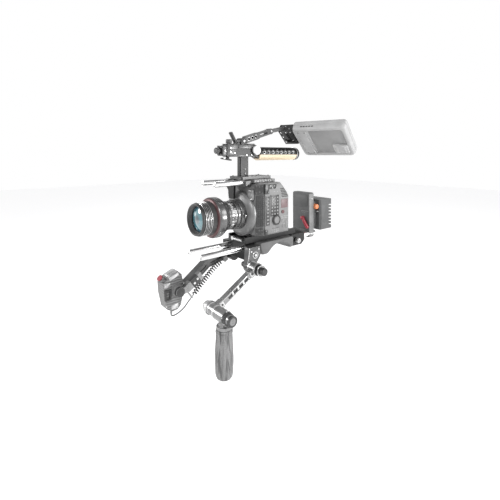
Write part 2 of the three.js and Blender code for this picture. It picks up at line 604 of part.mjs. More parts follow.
// Grip body outline on (Y, Z), front to the left.
const GRIP_X0 = -112;
const GRIP_X1 = -74;
const REC = { y: -199, z: -46, r: 6 };
const recBar = (r, from, to) => new THREE.CylinderGeometry(r, r, to - from, 20)
  .translate(0, (from + to) / 2, 0).rotateX(Math.PI * 0.75)
  .translate((GRIP_X0 + GRIP_X1) / 2, REC.y, REC.z);
piece('right_grip', cut(
  join(
    common(
      sideways([
        [-202, -55], [-188, -42], [-156, -30], [-148, -38], [-142, -64], [-141, -82], [-150, -122],
        [-160, -132], [-172, -136], [-191, -124], [-200, -84],
      ].reverse(), GRIP_X0, GRIP_X1),
      lengthways(chamfered(GRIP_X0, GRIP_X1, -140, -26, 9), -210, -130),
    ),
    recBar(9.5, -8, 3),
    barX(16, GRIP_X1 - 1, -67, RIGHT_WRIST.y, RIGHT_WRIST.z),
    barX(12, -67, -60.3, RIGHT_WRIST.y, RIGHT_WRIST.z),
    barZ(3, CORD_GLAND.z, -128, CORD_GLAND.x, CORD_GLAND.y, 12),
  ),
  recBar(REC.r + PLAY, -4, 8),
), greyPaint);
piece('grip_record_button', join(
  recBar(8, 5, 9),
  recBar(REC.r, -1.5, 6),
), redPlastic);

// Flat ring on the grip's inner side that a hand strap hooks into.
const STRAP = { y0: -199, y1: -181, z0: -99, z1: -71 };
piece('grip_strap_ring', cut(
  block(GRIP_X1 + GAP, -68, STRAP.y0, STRAP.y1, STRAP.z0, STRAP.z1),
  block(GRIP_X1, -67, STRAP.y0 + 4, STRAP.y1 - 4, STRAP.z0 + 4, STRAP.z1 - 4),
), blackRubber);

// Lead from the grip to the arm: a curly stretch beside the arm, then a thin tail.
function tube(points, r, sides, steps) {
  const path = new THREE.CatmullRomCurve3(points.map(([x, y, z]) => new THREE.Vector3(x, y, z)));
  const ring = [];
  for (let side = 0; side < sides; side += 1) {
    const turn = (side / sides) * 2 * Math.PI;
    ring.push(new THREE.Vector2(r * Math.cos(turn), r * Math.sin(turn)));
  }
  const section = new THREE.Shape(ring);
  return new THREE.ExtrudeGeometry(section, { steps, extrudePath: path, bevelEnabled: false });
}
const COIL_R = 8;
piece('cord_coil', tube([
  [COIL_X, -22, -19], [COIL_X, -47, -33], [COIL_X, -74, -54], [COIL_X, -102, -79],
  [COIL_X, -123, -99],
], COIL_R, 12, 20), blackRubber);
piece('cord_tail', tube([
  [COIL_X, -128.4, -104.4], [-58, -136, -112], [-60, -146, -124], [-64, -156, -134], [-69, -165, -141],
  [-74, -172, -145], [CORD_GLAND.x, CORD_GLAND.y, -143.5],
  [CORD_GLAND.x, CORD_GLAND.y, CORD_GLAND.z - 2 * GAP],
], 1.8, 8, 24), blackRubber);

// --- Battery plate and battery -------------------------------------------------------------
const PLATE = { half: 37, y0: 259, y1: 280, z0: 20, z1: 166 };

// The battery hangs in a wedge that is open at the top.
const wedge = (top, foot, z0, z1, y0, y1) =>
  lengthways([[-foot, z0], [foot, z0], [top, z1], [-top, z1]], y0, y1);
piece('battery_plate', cut(
  join(
    lengthways(chamfered(-PLATE.half, PLATE.half, PLATE.z0, PLATE.z1, 4), PLATE.y0, PLATE.y1),
    lengthways(chamfered(-32, 32, 45, 136, 4), PLATE.y1 - 1, 298.7),
  ),
  ...rodBores(PLATE.y0, PLATE.y1, LOW_ROD_Z),
  wedge(24.5, 14, 64, 138, 290.3, 300),
), greyPaint);

const BATTERY = { half: 48, y0: 299, y1: 363, z0: 41, z1: 141 };
const fins = [];
for (let slot = 0; slot < 7; slot += 1) {
  const foot = 51 + slot * 11;
  fins.push(block(
    -BATTERY.half - 1, BATTERY.half + 1, BATTERY.y1 - 17, BATTERY.y1 + 1, foot, foot + 5.5,
  ));
}
piece('battery', cut(
  join(
    upwards(chamfered(-BATTERY.half, BATTERY.half, BATTERY.y0, BATTERY.y1, 4), BATTERY.z0, BATTERY.z1),
    wedge(22.8, 13.2, 64.3, 132, 290.6, BATTERY.y0 + 1),
  ),
  ...fins,
), greyPaint);
piece('battery_latch', sideways([
  [PLATE.y0 - GAP, 48], [PLATE.y0 - GAP, 88], [252, 86], [248, 74], [250, 48],
], 8, 32), redPlastic);

export default rig;
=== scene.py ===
import math

import bmesh
import bpy
from mathutils import Matrix, Vector


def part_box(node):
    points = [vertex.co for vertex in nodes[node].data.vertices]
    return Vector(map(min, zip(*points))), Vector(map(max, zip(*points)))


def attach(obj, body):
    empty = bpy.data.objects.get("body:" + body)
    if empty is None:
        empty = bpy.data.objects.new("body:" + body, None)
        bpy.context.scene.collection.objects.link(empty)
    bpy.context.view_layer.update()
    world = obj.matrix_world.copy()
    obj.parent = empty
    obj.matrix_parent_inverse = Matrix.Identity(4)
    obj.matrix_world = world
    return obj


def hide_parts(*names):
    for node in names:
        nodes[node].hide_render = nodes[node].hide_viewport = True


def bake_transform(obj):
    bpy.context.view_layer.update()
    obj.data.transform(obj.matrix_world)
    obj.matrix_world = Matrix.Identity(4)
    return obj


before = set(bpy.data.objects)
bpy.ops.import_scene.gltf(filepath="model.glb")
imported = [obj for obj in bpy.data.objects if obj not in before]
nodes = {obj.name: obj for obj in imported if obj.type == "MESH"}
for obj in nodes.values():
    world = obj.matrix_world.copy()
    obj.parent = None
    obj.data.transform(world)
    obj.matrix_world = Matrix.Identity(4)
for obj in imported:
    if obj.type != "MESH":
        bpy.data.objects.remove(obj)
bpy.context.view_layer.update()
MM = 0.001

# --- Camera: a level view from the front left, with the horizon above the middle -----------
view = bpy.data.objects.new("view", bpy.data.cameras.new("view"))
bpy.context.scene.collection.objects.link(view)
view.location = (0.76133, -0.59136, 0.294)
view.rotation_euler = Vector((-0.7716, 0.6361, 0.0)).to_track_quat("-Z", "Y").to_euler()
view.data.lens = 24.12
view.data.sensor_width = 36
view.data.shift_y = -0.192
view.data.clip_start = 0.01
bpy.context.scene.camera = view


# --- Lead from the right grip -------------------------------------------------------------
# A rubber-covered lead, wound into a curly stretch beside the right arm from the bracket to the
# slider's clamp. A thin tail of the same lead goes on down to the foot of the grip.
class Wire:
    """An output of a shader node. Sums, differences, products and quotients of wires make Math nodes."""

    def __init__(self, paint, socket):
        self.paint = paint
        self.socket = socket

    def math(self, operation, *values):
        return self.paint.node("ShaderNodeMath", {i: v for i, v in enumerate(values)}, operation=operation)

    def __add__(self, other):
        return self.math("ADD", self, other)

    def __radd__(self, other):
        return self.math("ADD", other, self)

    def __sub__(self, other):
        return self.math("SUBTRACT", self, other)

    def __rsub__(self, other):
        return self.math("SUBTRACT", other, self)

    def __mul__(self, other):
        return self.math("MULTIPLY", self, other)

    def __truediv__(self, other):
        return self.math("DIVIDE", self, other)

    def step(self, low, high):
        """0 below low, 1 above high, smooth between."""
        return self.paint.node(
            "ShaderNodeMapRange",
            {"Value": self, "From Min": low, "From Max": high},
            interpolation_type="SMOOTHSTEP",
        )


class Paint:
    """A material on object coordinates, in metres."""

    def __init__(self, name, roughness=0.5, metallic=0.0, **fixed):
        self.material = bpy.data.materials.new(name)
        self.material.use_nodes = True
        self.tree = self.material.node_tree
        self.shader = self.tree.nodes["Principled BSDF"]
        self.shader.inputs["Roughness"].default_value = roughness
        self.shader.inputs["Metallic"].default_value = metallic
        for key, value in fixed.items():
            self.shader.inputs[key.replace("_", " ").title()].default_value = value
        self.place = self.node("ShaderNodeTexCoord", out="Object")

    def node(self, kind, feeds=None, out=0, **settings):
        made = self.tree.nodes.new(kind)
        for key, value in settings.items():
            setattr(made, key, value)
        for key, value in (feeds or {}).items():
            if isinstance(value, Wire):
                self.tree.links.new(value.socket, made.inputs[key])
            else:
                made.inputs[key].default_value = value
        return Wire(self, made.outputs[out])

    def noise(self, scale, detail=2.0, stretch=(1, 1, 1), **feeds):
        spot = self.place
        if stretch != (1, 1, 1):
            spot = self.node("ShaderNodeMapping", {"Vector": self.place, "Scale": stretch})
        return self.node("ShaderNodeTexNoise", {"Vector": spot, "Scale": scale, "Detail": detail, **feeds})

    def axis(self, name):
        return self.node("ShaderNodeSeparateXYZ", {0: self.place}, out=name)

    def mix(self, share, one, other):
        return self.node("ShaderNodeMix", {"Factor": share, 6: one, 7: other}, out=2, data_type="RGBA")

    def edges(self, radius):
        """1 on sharp convex edges, 0 on flat faces."""
        soft = self.node("ShaderNodeBevel", {"Radius": radius}, samples=4)
        true = self.node("ShaderNodeNewGeometry", out="Normal")
        same = self.node("ShaderNodeVectorMath", {0: soft, 1: true}, out="Value", operation="DOT_PRODUCT")
        return (1.0 - same).step(0.02, 0.25)

    def set(self, socket, wire):
        self.tree.links.new(wire.socket, self.shader.inputs[socket])

    def bump(self, height, strength, distance):
        self.set(
            "Normal",
            self.node("ShaderNodeBump", {"Height": height, "Strength": strength, "Distance": distance}),
        )


def colour(level, tint=(1, 1, 1)):
    return tuple(level * t for t in tint) + (1.0,)


def coating(
    name, level, roughness, metallic, tint=(1, 1, 1), wear_and_highlight=1.6, grain=2600, depth=0.00006, drift=0.14,
):
    """Anodised or painted metal and moulded plastic: a fine blasted grain, faint clouding in colour and
    gloss, and convex edges painted lighter, partly as wear where hands and cases rub them and partly as
    painted highlight."""
    paint = Paint(name, roughness, metallic)
    cloud = paint.noise(38, 5)
    fine = paint.noise(grain, 2)
    speck = paint.noise(700, 4).step(0.60, 0.72)
    # Convex edges painted lighter: partly wear, partly painted highlight along the edges.
    edge_wear_and_highlight = paint.edges(0.0009) * (0.45 + paint.noise(160, 4))
    ground = paint.mix(
        cloud.step(0.3, 0.7), colour(level * (1 - drift), tint), colour(level * (1 + drift), tint),
    )
    ground = paint.mix(speck * 0.25, ground, colour(level * 0.6, tint))
    paint.set(
        "Base Color",
        paint.mix(edge_wear_and_highlight.step(0.1, 1.1) * 0.7, ground, colour(min(level * wear_and_highlight + 0.05, 0.8), tint)),
    )
    paint.set("Roughness", roughness - 0.08 + cloud * 0.12 + fine * 0.08)
    paint.bump(fine + cloud * 0.3, 0.35, depth)
    return paint.material


black_rubber = coating("black_rubber", 0.045, 0.75, 0.0, wear_and_highlight=1.8, grain=1500, depth=0.00012)
COIL_X = -57
coil_route = [
    (COIL_X, -22, -19), (COIL_X, -47, -33), (COIL_X, -74, -54), (COIL_X, -102, -79), (COIL_X, -123, -99),
]
tail_route = [
    (COIL_X, -128.4, -104.4), (-58, -136, -112), (-60, -146, -124), (-64, -156, -134), (-69, -165, -141),
    (-74, -172, -145), (-77, -177.5, -143.5), (-77, -177.5, -139.1),
]
LEAD_D = 3.2


def smooth_route(points, count):
    """Evenly spaced points on a smooth curve through the given ones."""
    knots = [Vector(p) for p in points]
    ends = [knots[0] * 2 - knots[1]] + knots + [knots[-1] * 2 - knots[-2]]
    dense = []
    for a, b, c, d in zip(ends, ends[1:], ends[2:], ends[3:]):
        for step in range(40):
            t = step / 40
            dense.append(0.5 * (
                b * 2 + (c - a) * t + (a * 2 - b * 5 + c * 4 - d) * t ** 2 + (b * 3 - a - c * 3 + d) * t ** 3
            ))
    dense.append(knots[-1])
    runs = [0.0]
    for one, two in zip(dense, dense[1:]):
        runs.append(runs[-1] + (two - one).length)
    even, spot = [], 0
    for step in range(count):
        goal = runs[-1] * step / (count - 1)
        while spot < len(runs) - 2 and runs[spot + 1] < goal:
            spot += 1
        share = (goal - runs[spot]) / max(runs[spot + 1] - runs[spot], 1e-9)
        even.append(dense[spot].lerp(dense[spot + 1], min(share, 1.0)))
    return even, runs[-1]


def skin(mesh, rows):
    """Joins rings of vertices, one after the other, and closes the first and the last."""
    for one, two in zip(rows, rows[1:]):
        for step in range(len(one)):
            after = (step + 1) % len(one)
            mesh.faces.new([one[step], one[after], two[after], two[step]])
    mesh.faces.new(rows[0][::-1])
    mesh.faces.new(rows[-1])
    bmesh.ops.recalc_face_normals(mesh, faces=mesh.faces)


def placed(mesh, name, finish):
    """Turns a bmesh into a smooth object with one finish."""
    for face in mesh.faces:
        face.smooth = True
    data = bpy.data.meshes.new(name)
    mesh.to_mesh(data)
    mesh.free()
    data.materials.append(finish)
    made = bpy.data.objects.new(name, data)
    bpy.context.scene.collection.objects.link(made)
    return made


def lead(name, points, diameter, finish=black_rubber):
    """A round lead or wire along the points, with closed ends."""
    mesh = bmesh.new()
    sides = 10
    rings = []
    up = Vector((1, 0, 0))
    for spot, point in enumerate(points):
        along = (points[min(spot + 1, len(points) - 1)] - points[max(spot - 1, 0)]).normalized()
        across = (up - along * up.dot(along)).normalized()
        up = across
        other = along.cross(across)
        ring = []
        for side in range(sides):
            angle = 2 * math.pi * side / sides
            offset = (across * math.cos(angle) + other * math.sin(angle)) * diameter / 2
            ring.append(mesh.verts.new((point + offset) * MM))
        rings.append(ring)
    skin(mesh, rings)
    return placed(mesh, name, finish)


def length_of(points):
    return sum((b - a).length for a, b in zip(points, points[1:])) * MM


# The curly stretch is one lead wound into a helix inside the coil's outer diameter. Both ends
# run straight along the coil's axis and open out into the first turn over 11 mm.
TURNS = 18
OPEN_OUT = 0.085
axis_points, _ = smooth_route(coil_route, 201)
wound = []
angle = 0.0
COIL_STEPS = TURNS * 24
for step in range(COIL_STEPS + 1):
    share = step / COIL_STEPS
    place = share * (len(axis_points) - 1)
    low = min(int(place), len(axis_points) - 2)
    centre = axis_points[low].lerp(axis_points[low + 1], place - low)
    along = (axis_points[low + 1] - axis_points[low]).normalized()
    side = Vector((1, 0, 0))
    other = along.cross(side)
    near = min(1.0, share / OPEN_OUT, (1 - share) / OPEN_OUT)
    opened = near * near * (3 - 2 * near)
    angle += 2 * math.pi * TURNS / COIL_STEPS * (0.12 + 0.88 * opened)
    reach = (8.0 - LEAD_D / 2) * opened
    wound.append(centre + (side * math.cos(angle) + other * math.sin(angle)) * reach)
coil = lead("lead_coil", wound, LEAD_D)
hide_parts("cord_coil")
wound[0] * MM
length_of(wound)
[p * MM for p in wound]
wound[20] * MM
wound[-1] * MM
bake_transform(coil)

tail_points, _ = smooth_route(tail_route, 60)
tail = lead("lead_tail", tail_points, LEAD_D)
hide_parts("cord_tail")
tail_points[0] * MM
length_of(tail_points)
[p * MM for p in tail_points]
tail_points[0] * MM
tail_points[-1] * MM
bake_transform(tail)


# --- Rods ---------------------------------------------------------------------------------
# Six polished steel tubes, 15 mm across, with a threaded mouth at each end. They are drawn along
# their length, so fine lines run along Y, with faint tarnish and bright ground ends. The clamps
# hold them by friction.
def steel():
    paint = Paint("polished_steel", 0.14, 1.0)
    lines = paint.noise(900, 3, stretch=(1, 0.02, 1))
    stain = paint.noise(26, 5)
    paint.set("Base Color", paint.mix(stain.step(0.35, 0.7), colour(0.92), colour(0.80)))
    paint.set("Roughness", 0.14 + lines * 0.10 + stain * 0.06)
    paint.bump(lines, 0.06, 0.00002)
    return paint.material


polished_steel = steel()


def dress(finish, *names):
    """Gives CAD nodes the finish of the real piece, and breaks their edges by a small chamfer."""
    for name in names:
        node = nodes[name]
        node.data.materials.clear()
        node.data.materials.append(finish)
        if "custom_normal" in node.data.attributes:
            node.data.attributes.remove(node.data.attributes["custom_normal"])
        for face in node.data.polygons:
            face.use_smooth = True
        weld = node.modifiers.new("weld", "WELD")
        weld.merge_threshold = 0.00002
        flat = node.modifiers.new("flat", "DECIMATE")
        flat.decimate_type = "DISSOLVE"
        flat.angle_limit = math.radians(0.5)
        edge = node.modifiers.new("edge", "BEVEL")
        edge.width = 0.0004
        edge.segments = 2
        edge.limit_method = "ANGLE"
        edge.angle_limit = math.radians(33)
        edge.use_clamp_overlap = True
        even = node.modifiers.new("even", "WEIGHTED_NORMAL")
        even.weight = 80
        even.keep_sharp = True


class Shape:
    """Collects turned and bevelled bodies, given in millimetres, into one piece."""

    def __init__(self):
        self.mesh = bmesh.new()

    def block(self, low, high, edge=0.3, turn=None, segments=2):
        made = bmesh.ops.create_cube(self.mesh, size=1.0)["verts"]
        size = Vector(high) - Vector(low)
        middle = (Vector(high) + Vector(low)) / 2
        move = Matrix.Translation(middle) @ Matrix.Diagonal(size.to_4d())
        if turn is not None:
            move = turn @ move
        bmesh.ops.transform(self.mesh, matrix=move, verts=made)
        if edge:
            lines = {line for vert in made for line in vert.link_edges}
            bmesh.ops.bevel(
                self.mesh, geom=list(lines), offset=edge, segments=segments, profile=0.5,
                affect="EDGES", clamp_overlap=True, material=-1,
            )
        return self

    def turned(self, profile, at, axis=(0, 1, 0), steps=64, ribs=0, rib_depth=0.0):
        """Spins [radius, along] points about an axis. A third value of 1 marks a ribbed point."""
        if ribs:
            steps = ribs * 4
        before = set(self.mesh.verts)
        line = [self.mesh.verts.new((point[0], 0, point[1])) for point in profile]
        pairs = list(zip(line, line[1:]))
        if profile[0][0] != 0:
            pairs.append((line[-1], line[0]))
        lines = [self.mesh.edges.new(pair) for pair in pairs]
        bmesh.ops.spin(
            self.mesh, geom=line + lines, cent=(0, 0, 0), axis=(0, 0, 1), angle=math.tau, steps=steps,
            use_merge=True,
        )
        made = [vert for vert in self.mesh.verts if vert not in before]
        bmesh.ops.remove_doubles(self.mesh, verts=made, dist=0.0001)
        made = [vert for vert in self.mesh.verts if vert not in before]
        ribbed = [point for point in profile if len(point) > 2]
        for vert in made:
            r = math.hypot(vert.co.x, vert.co.y)
            step = round(math.atan2(vert.co.y, vert.co.x) / math.tau * steps) % steps
            on_rib = any(abs(r - point[0]) < 0.001 and abs(vert.co.z - point[1]) < 0.001 for point in ribbed)
            if on_rib and step % 4 > 1:
                vert.co.x *= (r - rib_depth) / r
                vert.co.y *= (r - rib_depth) / r
        spin = Vector((0, 0, 1)).rotation_difference(Vector(axis)).to_matrix().to_4x4()
        bmesh.ops.transform(self.mesh, matrix=Matrix.Translation(Vector(at)) @ spin, verts=made)
        return self

    def done(self, name, finish, body, slot, replaces=(), sharp=35):
        """Makes the piece, in metres, riding on a body and with its edges past an angle kept sharp."""
        bmesh.ops.recalc_face_normals(self.mesh, faces=self.mesh.faces)
        bmesh.ops.scale(self.mesh, vec=(MM, MM, MM), verts=self.mesh.verts)
        for line in self.mesh.edges:
            if len(line.link_faces) == 2:
                line.smooth = line.calc_face_angle(0.0) < math.radians(sharp)
        made = placed(self.mesh, name, finish)
        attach(made, body)
        if replaces:
            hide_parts(*replaces)
        return made


dress(
    polished_steel, "rod_lower_left", "rod_lower_right", "rod_rear_left", "rod_rear_right",
    "rod_upper_left", "rod_upper_right",
)
for name, body in (
    ("rod_lower_left", "base"), ("rod_lower_right", "base"), ("rod_rear_left", "base"),
    ("rod_rear_right", "base"), ("rod_upper_left", "camera"), ("rod_upper_right", "camera"),
):
    low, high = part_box(name)
    x, z = (low.x + high.x) / 2 / MM, (low.z + high.z) / 2 / MM
    y0, y1 = low.y / MM, high.y / MM
    front = [[0, y0 + 9.5], [4.2, y0 + 9.5]]
    for turn in range(7):
        front += [[4.9, y0 + 8.6 - turn * 1.1], [4.3, y0 + 8.1 - turn * 1.1]]
    front += [[5.3, y0 + 0.3], [5.6, y0], [6.9, y0], [7.3, y0 + 0.2], [7.5, y0 + 0.7]]
    back = [[r, y0 + y1 - y] for r, y in reversed(front)]
    Shape().turned(front + back, (x, 0, z), steps=56).done(
        name + "_tube", polished_steel, body, "polished_steel", (name,)
    )

# --- Rod clamps, base plate and camera plate ----------------------------------------------
# Black anodised aluminium milled from bar. The clamps pinch the rods with a screw, the camera plate
# slides in the dovetail of the base plate, and a satin lever across the front locks it.
deep_black = coating("deep_black", 0.005, 0.36, 0.2, wear_and_highlight=10)
satin_aluminium = coating("satin_aluminium", 0.55, 0.26, 0.9, wear_and_highlight=1.5)
dress(deep_black, "front_rod_clamp", "rear_rod_clamp", "base_plate", "camera_plate")
dress(satin_aluminium, "plate_lock_lever")

# --- Lens ---------------------------------------------------------------------------------
# A barrel of turned and anodised rings on one axis. The front barrel has five fine ribs behind a
# plain lip and a threaded cone inside it, a threaded ring holds the coated front glass, and the
# wide collar carries a ribbed maroon band on its front.
black_anodised = coating("black_anodised", 0.016, 0.36, 0.5, wear_and_highlight=7)
dark_grey = coating("dark_grey", 0.055, 0.34, 0.5, wear_and_highlight=3.4)
lens_grey = coating("lens_grey", 0.13, 0.24, 0.7, wear_and_highlight=4.0)
maroon = coating("maroon", 0.085, 0.28, 0.4, tint=(1.0, 0.50, 0.52), wear_and_highlight=3.6)
white_mark = coating("white_mark", 0.55, 0.5, 0.0, wear_and_highlight=1.0)


AXIS = (0, 0, 123)
GLASS_R = 35.6


# Coated front glass: dark in the middle, with the teal of the coating in rings round the optical
# axis and three pale glints painted into its colour as painted highlights.
def lens_glass():
    paint = Paint("lens_glass", 0.03, 0.0, coat_weight=1.0, coat_roughness=0.02)
    paint.shader.inputs["Specular IOR Level"].default_value = 1.0
    off = paint.node("ShaderNodeVectorMath", {0: paint.place, 1: Vector(AXIS) * MM}, operation="SUBTRACT")
    flat = paint.node("ShaderNodeVectorMath", {0: off, 1: (1, 0, 1)}, operation="MULTIPLY")
    out = paint.node("ShaderNodeVectorMath", {0: flat}, out="Value", operation="LENGTH")
    ring = out / (GLASS_R * MM)
    drift = paint.noise(34, 3)
    inner = paint.mix((ring + drift * 0.3).step(0.30, 0.62), (0.006, 0.030, 0.040, 1), (0.04, 0.15, 0.18, 1))
    inner = paint.mix((ring + drift * 0.2).step(0.78, 0.92), inner, (0.05, 0.10, 0.13, 1))
    # Three painted highlights: pale spots mixed into the glass colour where it should glint.
    for x, z, r, painted_glint_strength in (
        (-0.013, 0.013, 0.013, 0.75), (-0.007, -0.024, 0.009, 0.6), (0.012, 0.006, 0.006, 0.3),
    ):
        away = paint.node("ShaderNodeVectorMath", {0: flat, 1: (x, 0, z)}, out="Value", operation="DISTANCE")
        painted_glint = (1.0 - (away + drift * 0.008).step(r * 0.55, r)) * painted_glint_strength
        inner = paint.mix(painted_glint, inner, (0.62, 0.72, 0.74, 1))
    paint.set("Base Color", paint.mix(ring.step(0.93, 0.98), inner, (0.02, 0.015, 0.02, 1)))
    paint.set("Roughness", 0.02 + paint.noise(60, 3) * 0.05)
    return paint.material


coated_glass = lens_glass()

dress(black_anodised, "lens_barrel")
dress(coated_glass, "front_glass")
dress(polished_steel, "front_barrel", "focus_ring", "distance_ring", "iris_ring")
dress(lens_grey, "mount_lock_ring")
mouth = [[36.2, -137.2]]
for turn in range(9):
    share = (turn + 0.5) / 9
    mouth += [[36.3 + 3.1 * share, -137.4 - 12.0 * share], [35.9 + 3.1 * share, -138.1 - 12.0 * share]]
ribs = []
RIBS_AT = (-140.6, -136.0, -131.4, -126.8, -122.2)
for rib in RIBS_AT:
    ribs += [
        [41.6, rib - 1.3], [43.7, rib - 0.9], [44.2, rib - 0.4], [44.2, rib + 0.4], [43.7, rib + 0.9],
        [41.6, rib + 1.3],
    ]
Shape().turned(
    [[34.3, -108.3], [34.3, -112.3], [31, -112.3], [31, -125.7], [36.2, -125.7]] + mouth + [
        [39.5, -149.9], [40.5, -150], [41.4, -149.6], [42.1, -148.6], [42.4, -146.5], [42.3, -142.0],
    ] + ribs + [[42.2, -119.6], [42.2, -118.4], [43.0, -117.8], [43.2, -114], [45.4, -110.5], [45.4, -108.3]],
    AXIS, steps=128,
).done("front_barrel_ribbed", dark_grey, "camera", "black_anodised", ("front_barrel",))

# Satin rings on the rib crests: partly bright machined edges, partly painted highlight along the crests.
edges = Shape()
for rib in RIBS_AT:
    edges.turned(
        [[43.6, rib - 0.75], [44.6, rib - 0.5], [44.6, rib + 0.5], [43.6, rib + 0.75]], AXIS, steps=128,
    )
edges.done("barrel_rib_edges", satin_aluminium, "camera", "black_anodised")

dome = [[0, -143.5]]
for step in range(1, 13):
    share = step / 12
    dome.append([GLASS_R * share, -143.5 + 7.8 * share ** 2])
Shape().turned(dome + [[35.8, -135.2], [35.8, -126], [0, -126]], AXIS, steps=96).done(
    "front_glass_dome", coated_glass, "camera", "coated_glass", ("front_glass",)
)
Shape().turned(
    [[34.4, -136.6], [36.0, -136.0], [36.6, -138.2], [35.6, -138.8], [34.5, -138.2]], AXIS, steps=96,
).done("glass_retaining_ring", deep_black, "camera", "black_anodised")

Shape().turned([
    [34.3, -61.3], [34.3, -107.9], [44.6, -107.9], [45.8, -107.7], [51.4, -105.7], [53.4, -104.0],
    [54.3, -101.9], [54.5, -99.5], [54.5, -86.5], [54.1, -84.2], [52.9, -81.6], [50.7, -77.6],
    [47.6, -72.8], [44.8, -69.2], [43.1, -67.4], [42.7, -66.2], [41.1, -65.4], [40.6, -64.6], [40.6, -62.0],
    [40.1, -61.4],
], AXIS, steps=144).done("focus_collar", lens_grey, "focus", "grey_anodised", ("focus_ring",))
Shape().turned([
    [45.0, -108.3, 1], [46.4, -108.4, 1], [51.6, -106.6, 1], [52.8, -105.4, 1], [52.4, -104.8],
    [45.0, -107.0],
], AXIS, ribs=84, rib_depth=0.4).done("focus_band", maroon, "focus", "grey_anodised")

Shape().turned([
    [34.3, -38.4], [34.3, -60.9], [38.2, -60.9], [38.7, -60.4], [38.9, -57.4], [39.5, -57.0, 1],
    [39.5, -46.4, 1], [38.9, -46.0], [38.8, -39.0], [38.4, -38.5],
], AXIS, ribs=72, rib_depth=0.9).done(
    "distance_ring_ribbed", lens_grey, "distance", "grey_anodised", ("distance_ring",)
)
marks = Shape()
for degrees, length in (
    (34, 6), (26, 9), (19, 9), (12, 6), (-4, 3), (-16, 6), (-30, 3), (60, 5), (84, 5), (110, 5),
):
    turn = Matrix.Translation(Vector(AXIS)) @ Matrix.Rotation(-math.radians(degrees), 4, "Y")
    marks.block((38.4, -45.4, -1.0), (39.15, -45.4 + length * 0.62, 1.0), 0.15, turn)
    marks.block((39.1, -56.4, -1.3), (39.75, -56.4 + length, 1.3), 0.15, turn)
marks.done("distance_marks", white_mark, "distance", "grey_anodised")

Shape().turned([
    [34.3, -26.4], [34.3, -37.9], [39.8, -37.9], [40.6, -37.2], [41.0, -36.2], [41.0, -34.4], [40.5, -34.0],
    [40.5, -33.4], [41.0, -33.0], [41.0, -28.2], [40.6, -27.2], [39.8, -26.4],
], AXIS, steps=112).done("iris_ring_turned", lens_grey, "iris", "black_anodised", ("iris_ring",))
lugs = Shape().turned([
    [37, -10.3], [37, -23.9], [39.2, -23.9], [40.4, -23.0], [40.9, -21.6], [40.9, -16.4], [40.3, -16.0],
    [40.3, -15.2], [40.9, -14.8], [40.9, -10.8], [40.4, -10.3],
], AXIS, steps=112)
for side in (-1, 1):
    x0, x1 = sorted((side * 39.8, side * 47.0))
    lugs.block((x0, -20, 118), (x1, -13, 128), 1.4, segments=3)
lugs.done("mount_ring_lugged", lens_grey, "lock_ring", "satin_aluminium", ("mount_lock_ring",))

# --- Front housing ------------------------------------------------------------------------
# A turned casting in painted metal with fine steps, screwed to the front of the body. The lens
# release boss stands at its upper left and has small white index dots.
housing_grey = coating("housing_grey", 0.165, 0.34, 0.35, wear_and_highlight=2.4)
panel_grey = coating("panel_grey", 0.15, 0.46, 0.05, wear_and_highlight=1.8)
dress(housing_grey, "front_housing")
Shape().turned([
    [40.3, 5.5], [40.3, -9.6], [41.0, -10], [46.8, -10], [47.8, -9.6], [49.4, -8.6], [50.2, -8.6],
    [50.6, -8.9],
    [56.2, -6.9], [59.8, -5.2], [60.3, -4.4], [61.2, -4.4], [62.6, -3.0], [63.7, -1.0], [64, 1.2], [64, 5.5],
], AXIS, steps=144).done("front_housing_turned", housing_grey, "camera", "grey_anodised", ("front_housing",))
boss = Shape()
boss.block((38, -3.5, 166), (57, 5.8, 196), 4.2, segments=4)
boss.turned([[0, -6.4], [6.4, -6.2], [8.0, -5.2], [8.6, -3.6], [8.6, -1], [0, -1]], (47.5, 0, 181), steps=48)
boss.done("lens_release_boss", panel_grey, "camera", "grey_paint")
dots = Shape()
for x, z in ((43.6, 192.0), (47.6, 192.6), (51.6, 192.0)):
    dots.turned([[0, -4.4], [0.9, -4.4], [1.5, -3.9], [1.5, -3.2], [0, -3.2]], (x, 0, z), steps=20)
for x, z in ((54.6, 170.0), (51.0, 168.6)):
    dots.turned([[0, -4.3], [1.2, -4.2], [1.6, -3.6], [1.6, -3.2], [0, -3.2]], (x, 0, z), steps=20)
dots.done("release_boss_dots", white_mark, "camera", "pale_paint")

# --- Body and its front corner ------------------------------------------------------------
# A moulded body. A rubber strip studded for grip is glued to its slanted corner, with a screwed
# cage cheek above it and a screwed foot below it.
body_grey = coating("body_grey", 0.13, 0.48, 0.05, wear_and_highlight=2.0)
grey_anodised = coating("grey_anodised", 0.10, 0.32, 0.6, wear_and_highlight=3.0)
dress(body_grey, "camera_body")
corner = Matrix.Translation((58, 6, 0)) @ Matrix.Rotation(math.atan2(20, 15), 4, "Z")
strip = Shape()
strip.block((2.0, -1.6, 92), (23.0, 0.4, 179), 0.7, corner)
for row in range(15):
    for column in range(4):
        u, z = 4.4 + column * 5.4, 96 + row * 5.7
        strip.block((u, -2.7, z), (u + 3.6, -1.2, z + 3.6), 0.8, corner)
strip.done("corner_grip_strip", black_rubber, "camera", "black_rubber")
cheek = Shape()
cheek.block((-1.0, -3.0, 182), (24.0, 0.4, 209), 0.9, corner)
cheek.block((70.5, 25.5, 183), (78.6, 41, 211), 0.9)
cheek.block((71.5, 38, 196), (77.6, 70, 209), 0.8)
cheek.block((1.0, -3.2, 70.5), (23.0, 0.4, 89), 0.9, corner)
cheek.block((74.5, 26.5, 70), (78.4, 37, 84), 0.9)
cheek.done("cage_cheek", dark_grey, "camera", "black_anodised")
screws = Shape()


def screw(shape, at, axis, r=2.6):
    """A cap screw's head with its hexagon socket, standing out along axis."""
    shape.turned([[0, 0], [r, 0], [r, r * 0.55], [r * 0.86, r * 0.75], [0, r * 0.75]], at, axis, 28)
    shape.turned([[0, r * 0.76], [r * 0.5, r * 0.76], [r * 0.42, r * 0.80], [0, r * 0.80]], at, axis, 6)


